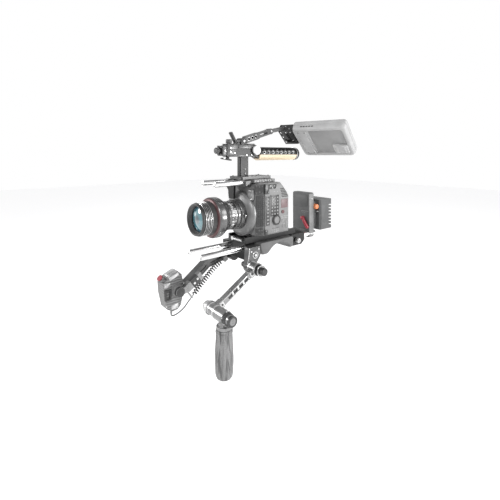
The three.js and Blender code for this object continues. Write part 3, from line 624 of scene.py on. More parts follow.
face = Vector((0.8, -0.6, 0))
along = Vector((0.6, 0.8, 0))
for u, z in (
    (4, 205), (12, 203), (20, 205), (4, 187), (13, 190), (21, 187), (5, 75), (12, 84), (20, 75), (19, 85),
):
    spot = Vector((58, 6, z)) + along * u + face * (3.0 if z > 100 else 3.2)
    screw(screws, spot, face, 2.4)
for y, z, r in (
    (30, 207, 2.2), (37, 188, 2.4), (44, 205, 2.6), (52, 200, 3.0), (60, 204, 2.4), (66, 199, 2.6),
    (31, 77, 2.4),
):
    screw(screws, (78.5 if y < 40 else 77.5, y, z), (1, 0, 0), r)
screws.done("cage_screws", grey_anodised, "camera", "satin_aluminium")

# --- Control panel ------------------------------------------------------------------------
# Two key fields, a dial, labels, louvres and two covered sockets on the left side of the body.
# The keys are small moulded caps that stand half a millimetre out of a darker field.
soft_mark = coating("soft_mark", 0.26, 0.5, 0.0, wear_and_highlight=1.2)
rose_grey = coating("rose_grey", 0.12, 0.4, 0.0, tint=(1.0, 0.62, 0.65), wear_and_highlight=1.4)
dress(panel_grey, "control_panel")
dress(maroon, "record_key")
dress(polished_steel, "menu_dial")
PANEL_FACE = 75.9
fields = Shape()
fields.block((PANEL_FACE, 30.0, 95), (76.5, 43.8, 176), 0.25)
fields.block((PANEL_FACE, 47.4, 119), (76.6, 80.4, 178), 0.25)
fields.block((PANEL_FACE, 55, 84.5), (76.35, 82, 86.5), 0.2)
fields.done("key_fields", dark_grey, "camera", "grey_paint")
frames = Shape()
for y0, y1, z0, z1 in ((29.2, 44.6, 94.2, 176.8), (46.6, 81.2, 118.2, 178.8)):
    frames.block((PANEL_FACE, y0, z0), (76.9, y0 + 1.0, z1), 0.2)
    frames.block((PANEL_FACE, y1 - 1.0, z0), (76.9, y1, z1), 0.2)
    frames.block((PANEL_FACE, y0, z0), (76.9, y1, z0 + 1.0), 0.2)
    frames.block((PANEL_FACE, y0, z1 - 1.0), (76.9, y1, z1), 0.2)
frames.done("key_field_frames", panel_grey, "camera", "pale_paint")
keys = Shape()
for row in range(8):
    z = 99 + row * 9.6
    keys.block((76.3, 33.2, z), (77.6, 41.0, z + 5.2), 0.6, segments=3)
for row in range(6):
    for column in range(3):
        y, z = 50.2 + column * 10.2, 122.6 + row * 9.2
        keys.block((76.4, y, z), (77.8, y + 6.6, z + 5.0), 0.6, segments=3)
keys.done("function_keys", panel_grey, "camera", "pale_paint")
caps = Shape()
for row in range(8):
    z = 99 + row * 9.6
    caps.block((77.5, 35.4, z + 1.5), (77.75, 35.4 + (3.4 if row % 3 else 2.0), z + 3.6), 0.1)
for row in range(6):
    for column in range(3):
        if (row + 2 * column) % 4 == 3:
            continue
        y, z = 51.8 + column * 10.2, 124.0 + row * 9.2
        caps.block((77.7, y, z), (77.95, y + (3.4 if (row + column) % 2 else 2.2), z + 2.2), 0.1)
for row in range(2):
    for column in range(4):
        y, z = 56.4 + column * 6.8, 75.4 + row * 5.4
        caps.turned([[0, 0], [1.5, 0], [1.5, 0.5], [1.1, 0.8], [0, 0.8]], (76, y, z), (1, 0, 0), 20)
for y, z, w in (
    (90, 168, 5), (97.5, 168, 9), (110, 168, 5), (90, 114, 6), (99, 114, 8), (110, 114, 6), (90, 109, 9),
    (103, 109, 12), (96, 92.6, 8), (60, 188, 7), (72, 187, 5),
):
    caps.block((PANEL_FACE, y, z), (76.25, y + w, z + 1.7), 0.1)
caps.done("panel_legends", soft_mark, "camera", "pale_paint")
Shape().block((PANEL_FACE, 89.5, 139), (76.5, 116, 164.5), 0.5, segments=3).block(
    (76.4, 109.5, 152), (76.9, 113.5, 157), 0.3
).done("indicator_plate", rose_grey, "camera", "pale_paint")
# The louvres are black bars standing out of the panel: painted shade in place of their dark openings.
louvres = Shape()
for row in range(6):
    louvres.block(
        (75.2, 93 - row * 1.4, 170.4 + row * 4.6), (76.8, 118.4 - row * 3.6, 172.6 + row * 4.6), 0.4,
    )
louvres.done("panel_louvres", deep_black, "camera", "grey_paint")
doors = Shape()
for y, z in ((96.5, 101), (98.5, 86.5)):
    doors.turned(
        [[0, 0], [5.4, 0], [5.4, 0.9], [4.8, 1.3], [4.0, 1.3], [3.8, 1.0], [0, 1.0]], (PANEL_FACE, y, z),
        (1, 0, 0), 40,
    )
doors.block((PANEL_FACE, 106, 80), (76.8, 116.5, 101), 1.2, segments=3)
doors.done("socket_covers", panel_grey, "camera", "pale_paint")
Shape().turned([
    [0, 0.2], [14.6, 0.2], [14.9, 0.6], [14.9, 1.1, 1], [14.6, 1.5, 1], [14.2, 4.2, 1], [13.4, 5.0, 1],
    [12.8, 5.4],
    [11.6, 5.5], [10.8, 5.0], [10.4, 4.2], [10.0, 3.9], [0, 3.7],
], (76.1, 69, 108), (1, 0, 0), ribs=48, rib_depth=0.5).done(
    "menu_dial_ribbed", black_rubber, "menu_dial", "black_rubber", ("menu_dial",)
)
Shape().turned([
    [0, 3.2], [10.0, 3.4], [10.0, 4.3], [9.4, 4.9], [7.0, 5.2], [0, 5.4],
], (76.1, 69, 108), (1, 0, 0), steps=56).done("menu_dial_cap", panel_grey, "menu_dial", "black_rubber")

# --- Back and right side of the body ------------------------------------------------------
# The back has a socket plate with six coaxial sockets and a row of cooling slots. The right side
# has a screwed media door and more cooling slots. Moulded plastic and small turned metal, screwed
# on from outside.
body_low, body_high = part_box("camera_body")
BACK, RIGHT = body_high.y / MM, body_low.x / MM
rear = Shape()
rear.block((-56, BACK - 0.2, 78), (-2, BACK + 1.0, 162), 0.8, segments=3)
rear.block((6, BACK - 0.2, 78), (62, BACK + 1.0, 98), 0.8, segments=3)
rear.block((RIGHT - 0.9, 36, 84), (RIGHT + 0.2, 78, 158), 0.9, segments=3)
rear.block((RIGHT - 1.6, 40, 148), (RIGHT - 0.6, 74, 154), 0.5)
rear.done("rear_socket_plate", panel_grey, "camera", "grey_paint")
# The cooling slots are black bars standing out of the body: painted shade in place of their dark openings.
rear_slots = Shape()
for row in range(9):
    rear_slots.block((8, BACK - 0.2, 106 + row * 6.4), (60, BACK + 0.7, 109 + row * 6.4), 0.4)
for row in range(7):
    rear_slots.block((RIGHT - 0.7, 84, 92 + row * 7), (RIGHT + 0.2, 108, 95.4 + row * 7), 0.4)
rear_slots.done("rear_cooling_slots", deep_black, "camera", "grey_paint")
sockets = Shape()
for x in (-46, -29, -12):
    for z in (94, 120):
        sockets.turned([
            [0, 0.4], [2.0, 0.4], [2.0, 1.6], [3.6, 1.6], [3.6, 4.6], [4.4, 4.8], [4.8, 4.4], [4.8, 1.8],
            [6.6, 1.8],
            [6.8, 1.0], [6.8, 0], [0, 0],
        ], (x, BACK + 0.6, z), (0, 1, 0), 36)
for x, z in ((-52, 82), (-6, 82), (-52, 158), (-6, 158), (10, 82), (58, 82)):
    screw(sockets, (x, BACK + 0.8, z), (0, 1, 0), 1.8)
for y, z in ((40, 88), (74, 88), (40, 143), (74, 143)):
    screw(sockets, (RIGHT - 0.8, y, z), (-1, 0, 0), 1.8)
sockets.done("rear_sockets", satin_aluminium, "camera", "satin_aluminium")
covers = Shape()
covers.block((-54, BACK + 0.8, 136), (-32, BACK + 2.4, 152), 1.4, segments=3)
covers.block((-27, BACK + 0.8, 136), (-8, BACK + 2.4, 152), 1.4, segments=3)
covers.block((20, BACK + 0.8, 84), (34, BACK + 2.2, 92), 1.2, segments=3)
covers.block((40, BACK + 0.8, 84), (52, BACK + 2.2, 92), 1.2, segments=3)
covers.done("rear_socket_covers", black_rubber, "camera", "black_rubber")

# --- Cage, top plate and rod bridge -------------------------------------------------------
# Milled grey plates screwed over the body, with a row of threaded bushes along the left edge. The
# bridge on top holds the two upper rods, and a black riser carries the handle.
dress(dark_grey, "cage_plate", "top_plate", "rod_bridge")
dress(black_anodised, "rod_accessory_clamp", "handle_riser")
bushes = Shape()
for row in range(8):
    bushes.turned(
        [[0, 0.1], [1.5, 0.1], [1.5, 0.7], [2.6, 0.7], [2.9, 0.3], [2.9, -0.6], [0, -0.6]],
        (50.2, 14 + row * 9.6, 218), (1, 0, 0), 24,
    )
for x in (-42, 42):
    for row in range(4):
        bushes.turned(
            [[3.0, 0.05], [4.3, 0.05], [4.3, 0.4], [3.0, 0.4]], (x, 20 + row * 20, 222), (0, 0, 1), 24,
        )
for x in (-20, 0, 20):
    for y in (46, 62, 78):
        bushes.turned([[3.0, 0.05], [4.3, 0.05], [4.3, 0.4], [3.0, 0.4]], (x, y, 230), (0, 0, 1), 24)
for x in (-22, 22):
    for y in (-10, 28, 88):
        screw(bushes, (x, y, 230), (0, 0, 1), 2.6)
for x in (-8.2, 8.2):
    for z in (238, 250):
        screw(bushes, (x, 10, z), (math.copysign(1, x), 0, 0), 2.4)
bushes.done("threaded_bushes", grey_anodised, "camera", "satin_aluminium")

# --- Knobs --------------------------------------------------------------------------------
# Knurled aluminium with a turned face, each screwed on to its stud.
bright_aluminium = coating("bright_aluminium", 0.82, 0.3, 0.35, wear_and_highlight=1.1)
dress(polished_steel, "front_clamp_knob", "top_lock_knob", "arm_lock_knob")
dress(satin_aluminium, "rear_clamp_knob")


def knurled(name, at, axis, r, length, finish, body, slot, replaced, ribs=32):
    Shape().turned([
        [0, 0], [r * 0.62, 0], [r * 0.62, 1.8], [r * 0.9, 2.2], [r, 3.2, 1], [r, length - 2.0, 1],
        [r * 0.93, length - 1.2, 1], [r * 0.86, length - 0.4], [r * 0.74, length], [r * 0.66, length - 0.5],
        [r * 0.3, length - 0.5], [r * 0.26, length - 1.6], [0, length - 1.6],
    ], at, axis, ribs=ribs, rib_depth=r * 0.06).done(name, finish, body, slot, (replaced,))


knurled(
    "front_clamp_knob_knurled", (0, -72.3, 303), (0, -1, 0), 8.5, 14, dark_grey, "front_knob",
    "grey_anodised", "front_clamp_knob",
)
knurled(
    "top_lock_knob_knurled", (0, -40, 321.3), (0, 0, 1), 9, 14, grey_anodised, "top_knob", "grey_anodised",
    "top_lock_knob",
)
knurled(
    "arm_lock_knob_knurled", (13.3, 46, 305), (1, 0, 0), 13.5, 11, bright_aluminium, "arm_knob",
    "satin_aluminium", "arm_lock_knob", 40,
)
knurled(
    "rear_clamp_knob_knurled", (47.3, 183, 27), (1, 0, 0), 8, 14.7, satin_aluminium, "rear_knob",
    "satin_aluminium", "rear_clamp_knob",
)

# --- Handle block and top handle ----------------------------------------------------------
# A milled block with socket screws on its left side and a paddle under its nose. Behind it a round
# handle has a drilled black top half, an oiled pale wood lower half and a turned end cap.
graphite = coating("graphite", 0.024, 0.34, 0.5, wear_and_highlight=5)


# Growth rings are cut along the grain, with darker pores in short dashes.
def wood():
    paint = Paint("pale_wood", 0.5)
    grain = paint.noise(120, 6, stretch=(1, 0.05, 1), Distortion=0.6)
    pores = paint.noise(900, 2, stretch=(1, 0.06, 1)).step(0.60, 0.70)
    ground = paint.mix(grain.step(0.3, 0.72), (0.80, 0.68, 0.50, 1), (0.62, 0.47, 0.31, 1))
    paint.set("Base Color", paint.mix(pores * 0.4, ground, (0.40, 0.27, 0.16, 1)))
    paint.set("Roughness", 0.42 + pores * 0.2 + grain * 0.1)
    paint.bump(grain - pores, 0.3, 0.00012)
    return paint.material


pale_wood = wood()

dress(graphite, "handle_block", "arm_base")
dress(black_anodised, "quick_release_lever", "handle_core")
dress(pale_wood, "handle_wood")
trim = Shape()
trim.block((12.7, -71, 291), (14.0, -58.5, 314), 1.0)
trim.block((12.7, -55, 306.5), (14.2, -20, 318), 0.8)
trim.block((12.7, -16, 310), (14.2, 44, 318.6), 0.8)
trim.block((12.7, -50, 287.2), (14.2, 46, 290.6), 0.8)
trim.block((12.7, -55, 292), (13.8, -24, 304.5), 1.2)
trim.block((-12.6, -56, 320.6), (12.6, -48, 322.4), 0.7)
trim.block((-12.6, -32, 320.6), (12.6, -25, 322.8), 0.7)
trim.block((-11, 18, 320.6), (11, 46, 323.4), 1.2)
for row in range(5):
    trim.block((-12.2, 21 + row * 5, 323.0), (12.2, 23.6 + row * 5, 324.2), 0.4)
for row in range(4):
    trim.block((-13.4, -71.6 + row * 3.4, 314.4), (13.4, -69.8 + row * 3.4, 317.2), 0.5)
trim.done("handle_block_trim", grey_anodised, "camera", "grey_anodised")
handle_screws = Shape()
for y, z in ((-44, 300), (-44, 311), (-30, 296), (12, 291), (30, 291)):
    screw(handle_screws, (13.6, y, z), (1, 0, 0), 2.2)
screw(handle_screws, (14, -64, 303), (1, 0, 0), 3.0)
handle_screws.done("handle_block_screws", satin_aluminium, "camera", "satin_aluminium")
paddle = Shape()
paddle.block(
    (-5, -66, 277.5), (6, -34, 281.5), 1.2,
    Matrix.Translation((0, -50, 280)) @ Matrix.Rotation(
        math.radians(-9), 4, "X",
    ) @ Matrix.Translation((0, 50, -280)),
    3,
)
paddle.block((-4, -50, 280), (5, -42, 287), 0.8)
paddle.done("nose_paddle", black_anodised, "camera", "black_anodised")
stud = Shape()
screw(stud, (5.5, -60, 283), (1, 0, 0), 3.4)
stud.done("nose_paddle_screw", white_mark, "camera", "satin_aluminium")
HANDLE_AXIS = (0, 0, 295)

# The black top half of the grip is drilled through and each hole has a bright bush. A bright bead runs
# over the holes in scallops, on the left and on the right side: painted highlight along the scalloped rims.
HOLE_PITCH = 17.5
hole_bushes = Shape()
for hole in range(8):
    for side in (-1, 1):
        hole_bushes.turned(
            [[4.0, -1.5], [5.1, -1.5], [5.1, 0.6], [4.6, 0.9], [4.0, 0.6]],
            (side * 18.6, 77 + hole * HOLE_PITCH, 298), (side, 0, 0), 28,
        )
    if hole % 2 == 0:
        hole_bushes.block((-18, 72.8 + hole * HOLE_PITCH, 293.2), (18, 81.2 + hole * HOLE_PITCH, 296.0), 0.8)
hole_bushes.done("handle_hole_bushes", bright_aluminium, "camera", "satin_aluminium")
for side, label in ((1, "left"), (-1, "right")):
    highlight_bead = []
    for step in range(8 * 16 + 1):
        y = 77 + HOLE_PITCH * (step / 16 - 0.5)
        z = 299.5 + 6.5 * abs(math.sin(math.pi * step / 16))
        highlight_bead.append(Vector((side * math.sqrt(20.1 ** 2 - (z - HANDLE_AXIS[2]) ** 2), y, z)))
    piece = lead(f"handle_scallop_highlight_{label}", highlight_bead, 1.1, satin_aluminium)
    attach(piece, "camera")
cap = Shape()
cap.turned([
    [14, 216.8], [18.0, 217.2], [20.2, 217.6], [20.3, 219.0], [20.3, 226.4], [19.6, 228.6], [17.8, 230.8],
    [15.4, 231.9], [12.0, 232.2], [11.4, 231.2], [0, 231.0], [0, 216.8],
], HANDLE_AXIS, steps=72)
cap.done("handle_end_cap", black_anodised, "camera", "black_anodised")
Shape().turned(
    [[19.9, 218.6], [20.55, 218.6], [20.55, 221.4], [19.9, 221.4]], HANDLE_AXIS, steps=72,
).turned([[0, 232.0], [5.0, 232.0], [5.0, 232.9], [4.2, 233.4], [0, 233.4]], HANDLE_AXIS, steps=36).done(
    "handle_end_ring", satin_aluminium, "camera", "satin_aluminium"
)

# --- Monitor ------------------------------------------------------------------------------
# A moulded plastic case with a raised rear panel, a recess painted in a darker copy of the case grey
# as painted shade, a cable hump and a dark bezel round its glass. A dark bracket holds it by its short side.
monitor_grey = coating("monitor_grey", 0.345, 0.38, 0.0, wear_and_highlight=1.7, grain=3400, drift=0.06)
# A darker copy of the case grey for the back recess: painted shade.
monitor_painted_shade = coating("monitor_painted_shade", 0.235, 0.42, 0.0, wear_and_highlight=1.6, grain=3400, drift=0.05)


def screen_glass():
    paint = Paint("screen_glass", 0.08, 0.0, coat_weight=0.6)
    smear = paint.noise(22, 5)
    paint.set(
        "Base Color", paint.mix(smear.step(0.3, 0.7), (0.010, 0.013, 0.018, 1), (0.022, 0.026, 0.032, 1)),
    )
    paint.set("Roughness", 0.06 + smear * 0.12)
    return paint.material


dark_screen = screen_glass()

dress(monitor_grey, "monitor_shell")
dress(dark_screen, "monitor_screen")
dress(dark_grey, "monitor_bracket")
dress(grey_anodised, "monitor_link")
long_edge = Vector((0.96, 0.28, 0.0))
up_back = Vector((0.22204, -0.76128, 0.60923))
out_of_back = Vector((0.17058, -0.58486, -0.79300))
to_monitor = Matrix.Translation((25, 217.6, 328.8)) @ Matrix((
    (long_edge.x, up_back.x, out_of_back.x, 0), (long_edge.y, up_back.y, out_of_back.y, 0),
    (long_edge.z, up_back.z, out_of_back.z, 0), (0, 0, 0, 1),
))


def rounded_case(shape, levels, move):
    """Lofts rounded rectangles: each level is how far in, how high and its corner radius."""
    rows = []
    for inset, z, r in levels:
        x0, x1, y0, y1 = inset, 170 - inset, -68 + inset, 68 - inset
        row = []
        for cx, cy, start in (
            (x1 - r, y1 - r, 0), (x0 + r, y1 - r, 90), (x0 + r, y0 + r, 180), (x1 - r, y0 + r, 270),
        ):
            for step in range(9):
                turn = math.radians(start + step * 90 / 8)
                spot = Vector((cx + r * math.cos(turn), cy + r * math.sin(turn), z))
                row.append(shape.mesh.verts.new(move @ spot))
        rows.append(row)
    skin(shape.mesh, rows)


case = Shape()
rounded_case(case, (
    (1.0, -31.5, 9), (0.3, -30.6, 9.5), (0.0, -29.4, 10), (0.0, -18.4, 10), (0.3, -17.8, 10),
    (1.1, -17.6, 9.5),
    (1.1, -16.4, 9.5), (0.3, -16.2, 10), (0.0, -15.6, 10), (0.5, -8.0, 11), (1.4, -3.4, 12), (2.8, -1.2, 13),
    (5.0, -0.1, 12), (11.4, 0.0, 10), (12.4, -0.5, 9.5), (13.0, -1.6, 9), (13.6, -5.2, 9),
), to_monitor)
case.turned([[0, -11], [4, -11], [4, 2], [0, 2]], to_monitor @ Vector((0, 30, -17)), long_edge, 24)
case.done("monitor_case", monitor_grey, "monitor", "pale_paint", ("monitor_shell",), 28)
back = Shape()
back.block((12.5, -55, -8), (44, 55, 0.6), 2.0, to_monitor, 4)
back.block((42, -55, -8), (50, 55, -2.4), 2.0, to_monitor, 4)
back.done("monitor_back_panels", monitor_grey, "monitor", "pale_paint")
# The back recess in the darker copy of the case grey: painted shade.
Shape().block((48, -54.2, -8), (156.2, 54.2, -4.4), 0.8, to_monitor, 3).block(
    (146, -50, -6), (154, 50, -3.6), 0.6, to_monitor, 3,
).done("monitor_back_recess", monitor_painted_shade, "monitor", "pale_paint")
hump = Shape()
hump.turned([
    [0, -19.5], [9.0, -19.5], [12.6, -18.6], [14.4, -16.4], [15.0, -13.0], [15.0, 12.0], [14.4, 15.6],
    [12.4, 18.2],
    [9.0, 19.5], [0, 19.5],
], to_monitor @ Vector((122, -31, -9.5)), up_back, 64)
hump.block((124, -50, -6), (157.5, -12.5, 4.6), 3.6, to_monitor, 4)
hump.block((142, -47, 2), (150, -15.5, 5.6), 1.2, to_monitor, 3)
hump.done("monitor_hump", monitor_grey, "monitor", "pale_paint")
bezel = Shape()
bezel.block((1.4, -60, -32.2), (6.4, 60, -28), 0.8, to_monitor)
bezel.block((163.6, -60, -32.2), (168.6, 60, -28), 0.8, to_monitor)
bezel.block((9, 62, -32.2), (161, 66.6, -28), 0.8, to_monitor)
bezel.block((9, -66.6, -32.2), (161, -62, -28), 0.8, to_monitor)
bezel.done("monitor_bezel", dark_grey, "monitor", "pale_paint")
trim = Shape()
trim.block((-0.9, -57, -29), (0.8, 57, -19), 0.5, to_monitor)
trim.block((-0.9, -57, -14.5), (0.9, 57, -11.2), 0.5, to_monitor)
for row in range(5):
    trim.block((30 + row * 9, 67.6, -11), (36 + row * 9, 68.6, -7.5), 0.4, to_monitor)
trim.done("monitor_side_trim", dark_grey, "monitor", "pale_paint")
fasteners = Shape()
for x, y in ((18, 49), (39, 49), (18, -49), (39, -49)):
    screw(fasteners, to_monitor @ Vector((x, y, 0.5)), out_of_back, 1.7)
fasteners.done("monitor_back_screws", grey_anodised, "monitor", "pale_paint")
joint_screws = Shape()
for x, y in ((-10, 50), (-25, 50), (-42, 50), (-42, 30), (-14, 12), (-42, 4)):
    screw(joint_screws, to_monitor @ Vector((x, y, -4.0)), out_of_back, 2.6)
for x, z in ((-44, -12), (-12, -12), (-28, -22)):
    screw(joint_screws, to_monitor @ Vector((x, 58, z)), up_back, 2.4)
joint_screws.done("monitor_bracket_screws", satin_aluminium, "link", "satin_aluminium")
straps = Shape()
straps.block((-50.4, 20, -30.5), (-44, 58.4, -3.6), 0.8, to_monitor)
straps.block((-34, 16, -4.4), (-20, 46, -2.6), 1.2, to_monitor)
straps.block((-31, 20, -3.2), (-23, 42, -1.6), 1.0, to_monitor)
straps.done("monitor_bracket_straps", black_anodised, "link", "black_anodised")

# --- Monitor arm --------------------------------------------------------------------------
# A drilled aluminium arm. Screws hold its pivots, and a bright ring is turned round each hole.
dress(dark_grey, "monitor_arm")
arm_screws = Shape()
screw(arm_screws, (9.0, 113, 363.5), (1, 0, 0), 3.4)
for share in (0.2, 0.32, 0.44):
    arm_screws.turned(
        [[4.0, 0], [5.2, 0], [5.2, 0.5], [4.4, 0.7], [4.0, 0.5]],
        (9.0, 3 + 110 * share, 331 + 32.5 * share), (1, 0, 0), 32,
    )
arm_screws.done("monitor_arm_rings", satin_aluminium, "arm", "satin_aluminium")
pivot_screw = Shape()
screw(pivot_screw, (13.0, 3, 331), (1, 0, 0), 3.4)
pivot_screw.done("arm_base_screw", satin_aluminium, "camera", "satin_aluminium")

# --- Left bracket, shoulder joint, beam and elbow -----------------------------------------
# Grey and satin aluminium: a bracket on the rods, a turned barrel with its push button, a slotted beam with
# raised flanges, and a second barrel with a button and a screwed knob.
arm_grey = coating("arm_grey", 0.24, 0.26, 0.85, wear_and_highlight=2.6)
dress(grey_anodised, "left_bracket")
dress(arm_grey, "left_arm", "left_grip_neck")
dress(dark_grey, "shoulder_button")
dress(satin_aluminium, "elbow_button")
bracket_screws = Shape()
screw(bracket_screws, (66, 0.9, 18.7), (1, 0, 0), 4.2)
screw(bracket_screws, (66, -14, 30), (1, 0, 0), 2.6)
screw(bracket_screws, (66, 12, 34), (1, 0, 0), 2.6)
bracket_screws.turned(
    [[7.4, 0], [9.4, 0], [9.6, 0.6], [9.0, 1.2], [7.8, 1.2]], (66, 0.9, 18.7), (1, 0, 0), 48,
)
for low, high in (((-20, 40), (-28, -4)), ((-28, -4), (-14, -26))):
    run = math.hypot(high[0] - low[0], high[1] - low[1])
    lean = Matrix.Translation((0, *low)) @ Matrix.Rotation(
        math.atan2(high[1] - low[1], high[0] - low[0]), 4, "X",
    )
    bracket_screws.block((65.4, 0.5, 0.4), (67.0, run - 1.5, 2.4), 0.5, lean)
bracket_screws.done("left_bracket_screws", satin_aluminium, "base", "satin_aluminium")
SHOULDER = Vector((0, -13, -11))
ELBOW = Vector((0, -142, -84))
Shape().turned([
    [11.6, 95.4], [14.6, 95.4], [15.2, 96.2], [15.2, 97.4, 1], [15.2, 105.6, 1], [14.4, 106.8, 1],
    [13.0, 107.6],
    [11.6, 107.6],
], SHOULDER, (1, 0, 0), ribs=28, rib_depth=1.0).done(
    "shoulder_lock_ring", black_anodised, "left_arm", "grey_anodised"
)
Shape().turned([
    [0, 26.0], [3.0, 26.4], [5.8, 28.0], [7.6, 30.8], [8.0, 34.0], [7.4, 37.4], [5.6, 40.4], [5.0, 42.0],
    [5.0, 110.8], [9.2, 111.0], [10.0, 111.8], [10.0, 118.4], [9.6, 120.0], [8.6, 121.0], [7.4, 121.0],
    [6.6, 120.2],
    [0, 120.0],
], SHOULDER, (1, 0, 0), 56).done(
    "shoulder_button_turned", dark_grey, "shoulder_button", "satin_aluminium", ("shoulder_button",)
)
Shape().turned([
    [16.0, 66.6], [16.5, 67.2], [16.5, 69.6], [16.0, 70.2], [15.7, 70.2], [15.7, 66.6],
], SHOULDER, (1, 0, 0), 72).turned([
    [15.7, 90.6], [16.5, 90.6], [16.5, 93.4], [15.7, 94.6], [15.2, 94.6],
], SHOULDER, (1, 0, 0), 72).turned([
    [13, 94.9], [15.8, 94.9], [16.1, 95.4], [15.8, 96.0], [13, 96.0],
], SHOULDER, (1, 0, 0), 72).turned([
    [13, 106.7], [15.2, 106.7], [15.5, 107.2], [15.0, 107.9], [13, 107.9],
], SHOULDER, (1, 0, 0), 72).done("shoulder_barrel_bands", satin_aluminium, "left_arm", "grey_anodised")
Shape().turned([
    [0, 44.8], [7.4, 44.8], [8.2, 45.4], [10.6, 45.2], [11.9, 45.8], [12.5, 47.2], [12.5, 55.2], [12.0, 55.9],
    [5.0, 55.9], [5.0, 117.5], [4.4, 118.0], [0, 118.0],
], ELBOW, (1, 0, 0), 72).done(
    "elbow_button_turned", satin_aluminium, "elbow_button", "pale_paint", ("elbow_button",)
)
Shape().turned([
    [16.2, 59.2], [16.9, 59.8], [16.9, 61.4], [16.4, 61.8], [16.4, 62.8], [16.9, 63.2], [16.9, 66.8],
    [16.3, 67.8],
    [14.7, 68.2], [14.7, 59.2],
], ELBOW, (1, 0, 0), 96).turned([
    [14.2, 69.2], [15.0, 69.6], [15.0, 71.8], [14.2, 72.2],
], ELBOW, (1, 0, 0), 96).turned([
    [14.2, 89], [15.0, 89.4], [15.0, 94.8], [14.2, 95.4],
], ELBOW, (1, 0, 0), 96).done("elbow_barrel_bands", satin_aluminium, "left_arm", "grey_anodised")
Shape().turned([
    [12.2, 132.2], [13.6, 132.6], [13.9, 133.4, 1], [13.9, 143.0, 1], [13.2, 144.0, 1], [12.2, 144.4],
], ELBOW, (1, 0, 0), ribs=30, rib_depth=0.8).turned([
    [0, 155.8], [8.0, 155.8], [8.6, 156.6], [11.4, 156.6], [12.6, 156.0], [12.9, 154.8], [12.9, 150],
    [12.3, 149.6],
    [0, 149.6],
], ELBOW, (1, 0, 0), 72).done("elbow_knob", dark_grey, "left_grip", "grey_anodised")
beam_turn = Matrix.Translation(SHOULDER) @ Matrix.Rotation(math.atan2(-73, -129), 4, "X")
beam = Shape()
length = math.hypot(129, 73)
for x0, x1 in ((87.6, 89.0), (72.0, 73.4)):
    for edge in (-7.9, 5.9):
        beam.block((x0, 24, edge), (x1, length - 24, edge + 2.0), 0.6, beam_turn)
for share in (0.345, 0.475, 0.605):
    beam.block((84.4, length * share - 2.4, -5), (88.4, length * share + 2.4, 5), 0.7, beam_turn)
beam.block((74, 24, 7.2), (87, length - 24, 8.4), 0.6, beam_turn)
beam.block((86.8, 14, -8.6), (88.9, 25, 8.6), 0.9, beam_turn)
beam.block((86.8, length - 27, -8.2), (88.9, length - 15, 8.2), 0.9, beam_turn)
beam.done("arm_beam_flanges", satin_aluminium, "left_arm", "grey_anodised")
beam_marks = Shape()
beam_marks.block((84.0, length * 0.36, -2.6), (86.2, length * 0.59, 2.6), 0.6, beam_turn)
for y in (19.5, length - 21):
    screw(beam_marks, beam_turn @ Vector((88.8, y, 0)), (1, 0, 0), 2.6)
beam_marks.done("arm_beam_marks", dark_grey, "left_arm", "satin_aluminium")
elbow_screws = Shape()
for angle in range(20, 380, 72):
    a = math.radians(angle)
    screw(elbow_screws, (132.0, -142 + 14.2 * math.cos(a), -84 + 14.2 * math.sin(a)), (1, 0, 0), 1.5)
screw(elbow_screws, (131, -142, -104 + 4), (1, 0, 0), 2.2)
elbow_screws.done("elbow_screws", white_mark, "left_grip", "satin_aluminium")

# --- Left grip ----------------------------------------------------------------------------
# Leather pulled over a tapered core, with a rolled collar at the top and a rounded rim at the
# foot. It is creased along its length, and a pebbled grain shows between the creases.
def leather():
    paint = Paint("grey_leather", 0.62)
    cells = paint.node("ShaderNodeTexVoronoi", {"Vector": paint.place, "Scale": 620.0}, out="Distance")
    creases = paint.noise(120, 5, stretch=(1, 1, 0.14), Distortion=1.1)
    cloud = paint.noise(30, 4)
    # The hollows of the creases are painted darker: painted shade.
    ground = paint.mix(creases.step(0.36, 0.60), colour(0.05), colour(0.225))
    ground = paint.mix(cloud.step(0.3, 0.7) * 0.35, ground, colour(0.14))
    paint.set("Base Color", paint.mix(cells.step(0.4, 0.9) * 0.35, ground, colour(0.065)))
    paint.set("Roughness", 0.50 + cells * 0.2 + cloud * 0.1)
    paint.bump(creases * 2.0 - cells * 0.5, 0.6, 0.0005)
    return paint.material


grey_leather = leather()

dress(polished_steel, "left_grip")
GRIP = Vector((122, -142, -225))
levels = [
    (0.0, 12.6), (0.2, 15.2), (1.6, 17.4), (4.5, 19.4), (9, 20.7), (15, 21.3), (24, 21.7), (36, 21.9),
    (50, 22.0),
    (64, 21.7), (78, 21.0), (90, 20.2), (100, 19.6), (104, 19.4), (105.4, 19.6), (106.6, 20.3), (108.2, 20.5),
    (109.6, 20.1), (110.4, 19.5), (111.4, 19.6), (112.4, 20.0), (113.4, 19.4), (113.9, 17.6),
]
grip = bmesh.new()
GRIP_STEPS = 168
rings = []
for z, r in levels:
    ring = []
    body_share = max(0.0, min(1.0, z / 14, (104 - z) / 12))
    for step in range(GRIP_STEPS):
        a = 2 * math.pi * step / GRIP_STEPS
        fold = (
            0.42 * math.sin(9 * a + 0.045 * z) * math.sin(0.07 * z + 2.2 * math.sin(a))
            + 0.34 * math.sin(17 * a - 0.06 * z + 1.4) * math.sin(
                0.05 * z + 1.1 + 2.6 * math.sin(2 * a + 0.8)
            )
            + 0.20 * math.sin(29 * a + 0.09 * z)
        )
        near = r - 0.5 * body_share + fold * body_share
        ring.append(grip.verts.new((GRIP + Vector((near * math.cos(a), near * math.sin(a), z))) * MM))
    rings.append(ring)
skin(grip, rings)
grip_cover = placed(grip, "left_grip_leather", grey_leather)
smoother = grip_cover.modifiers.new("round", "SUBSURF")
smoother.levels = smoother.render_levels = 1
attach(grip_cover, "left_grip")
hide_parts("left_grip")

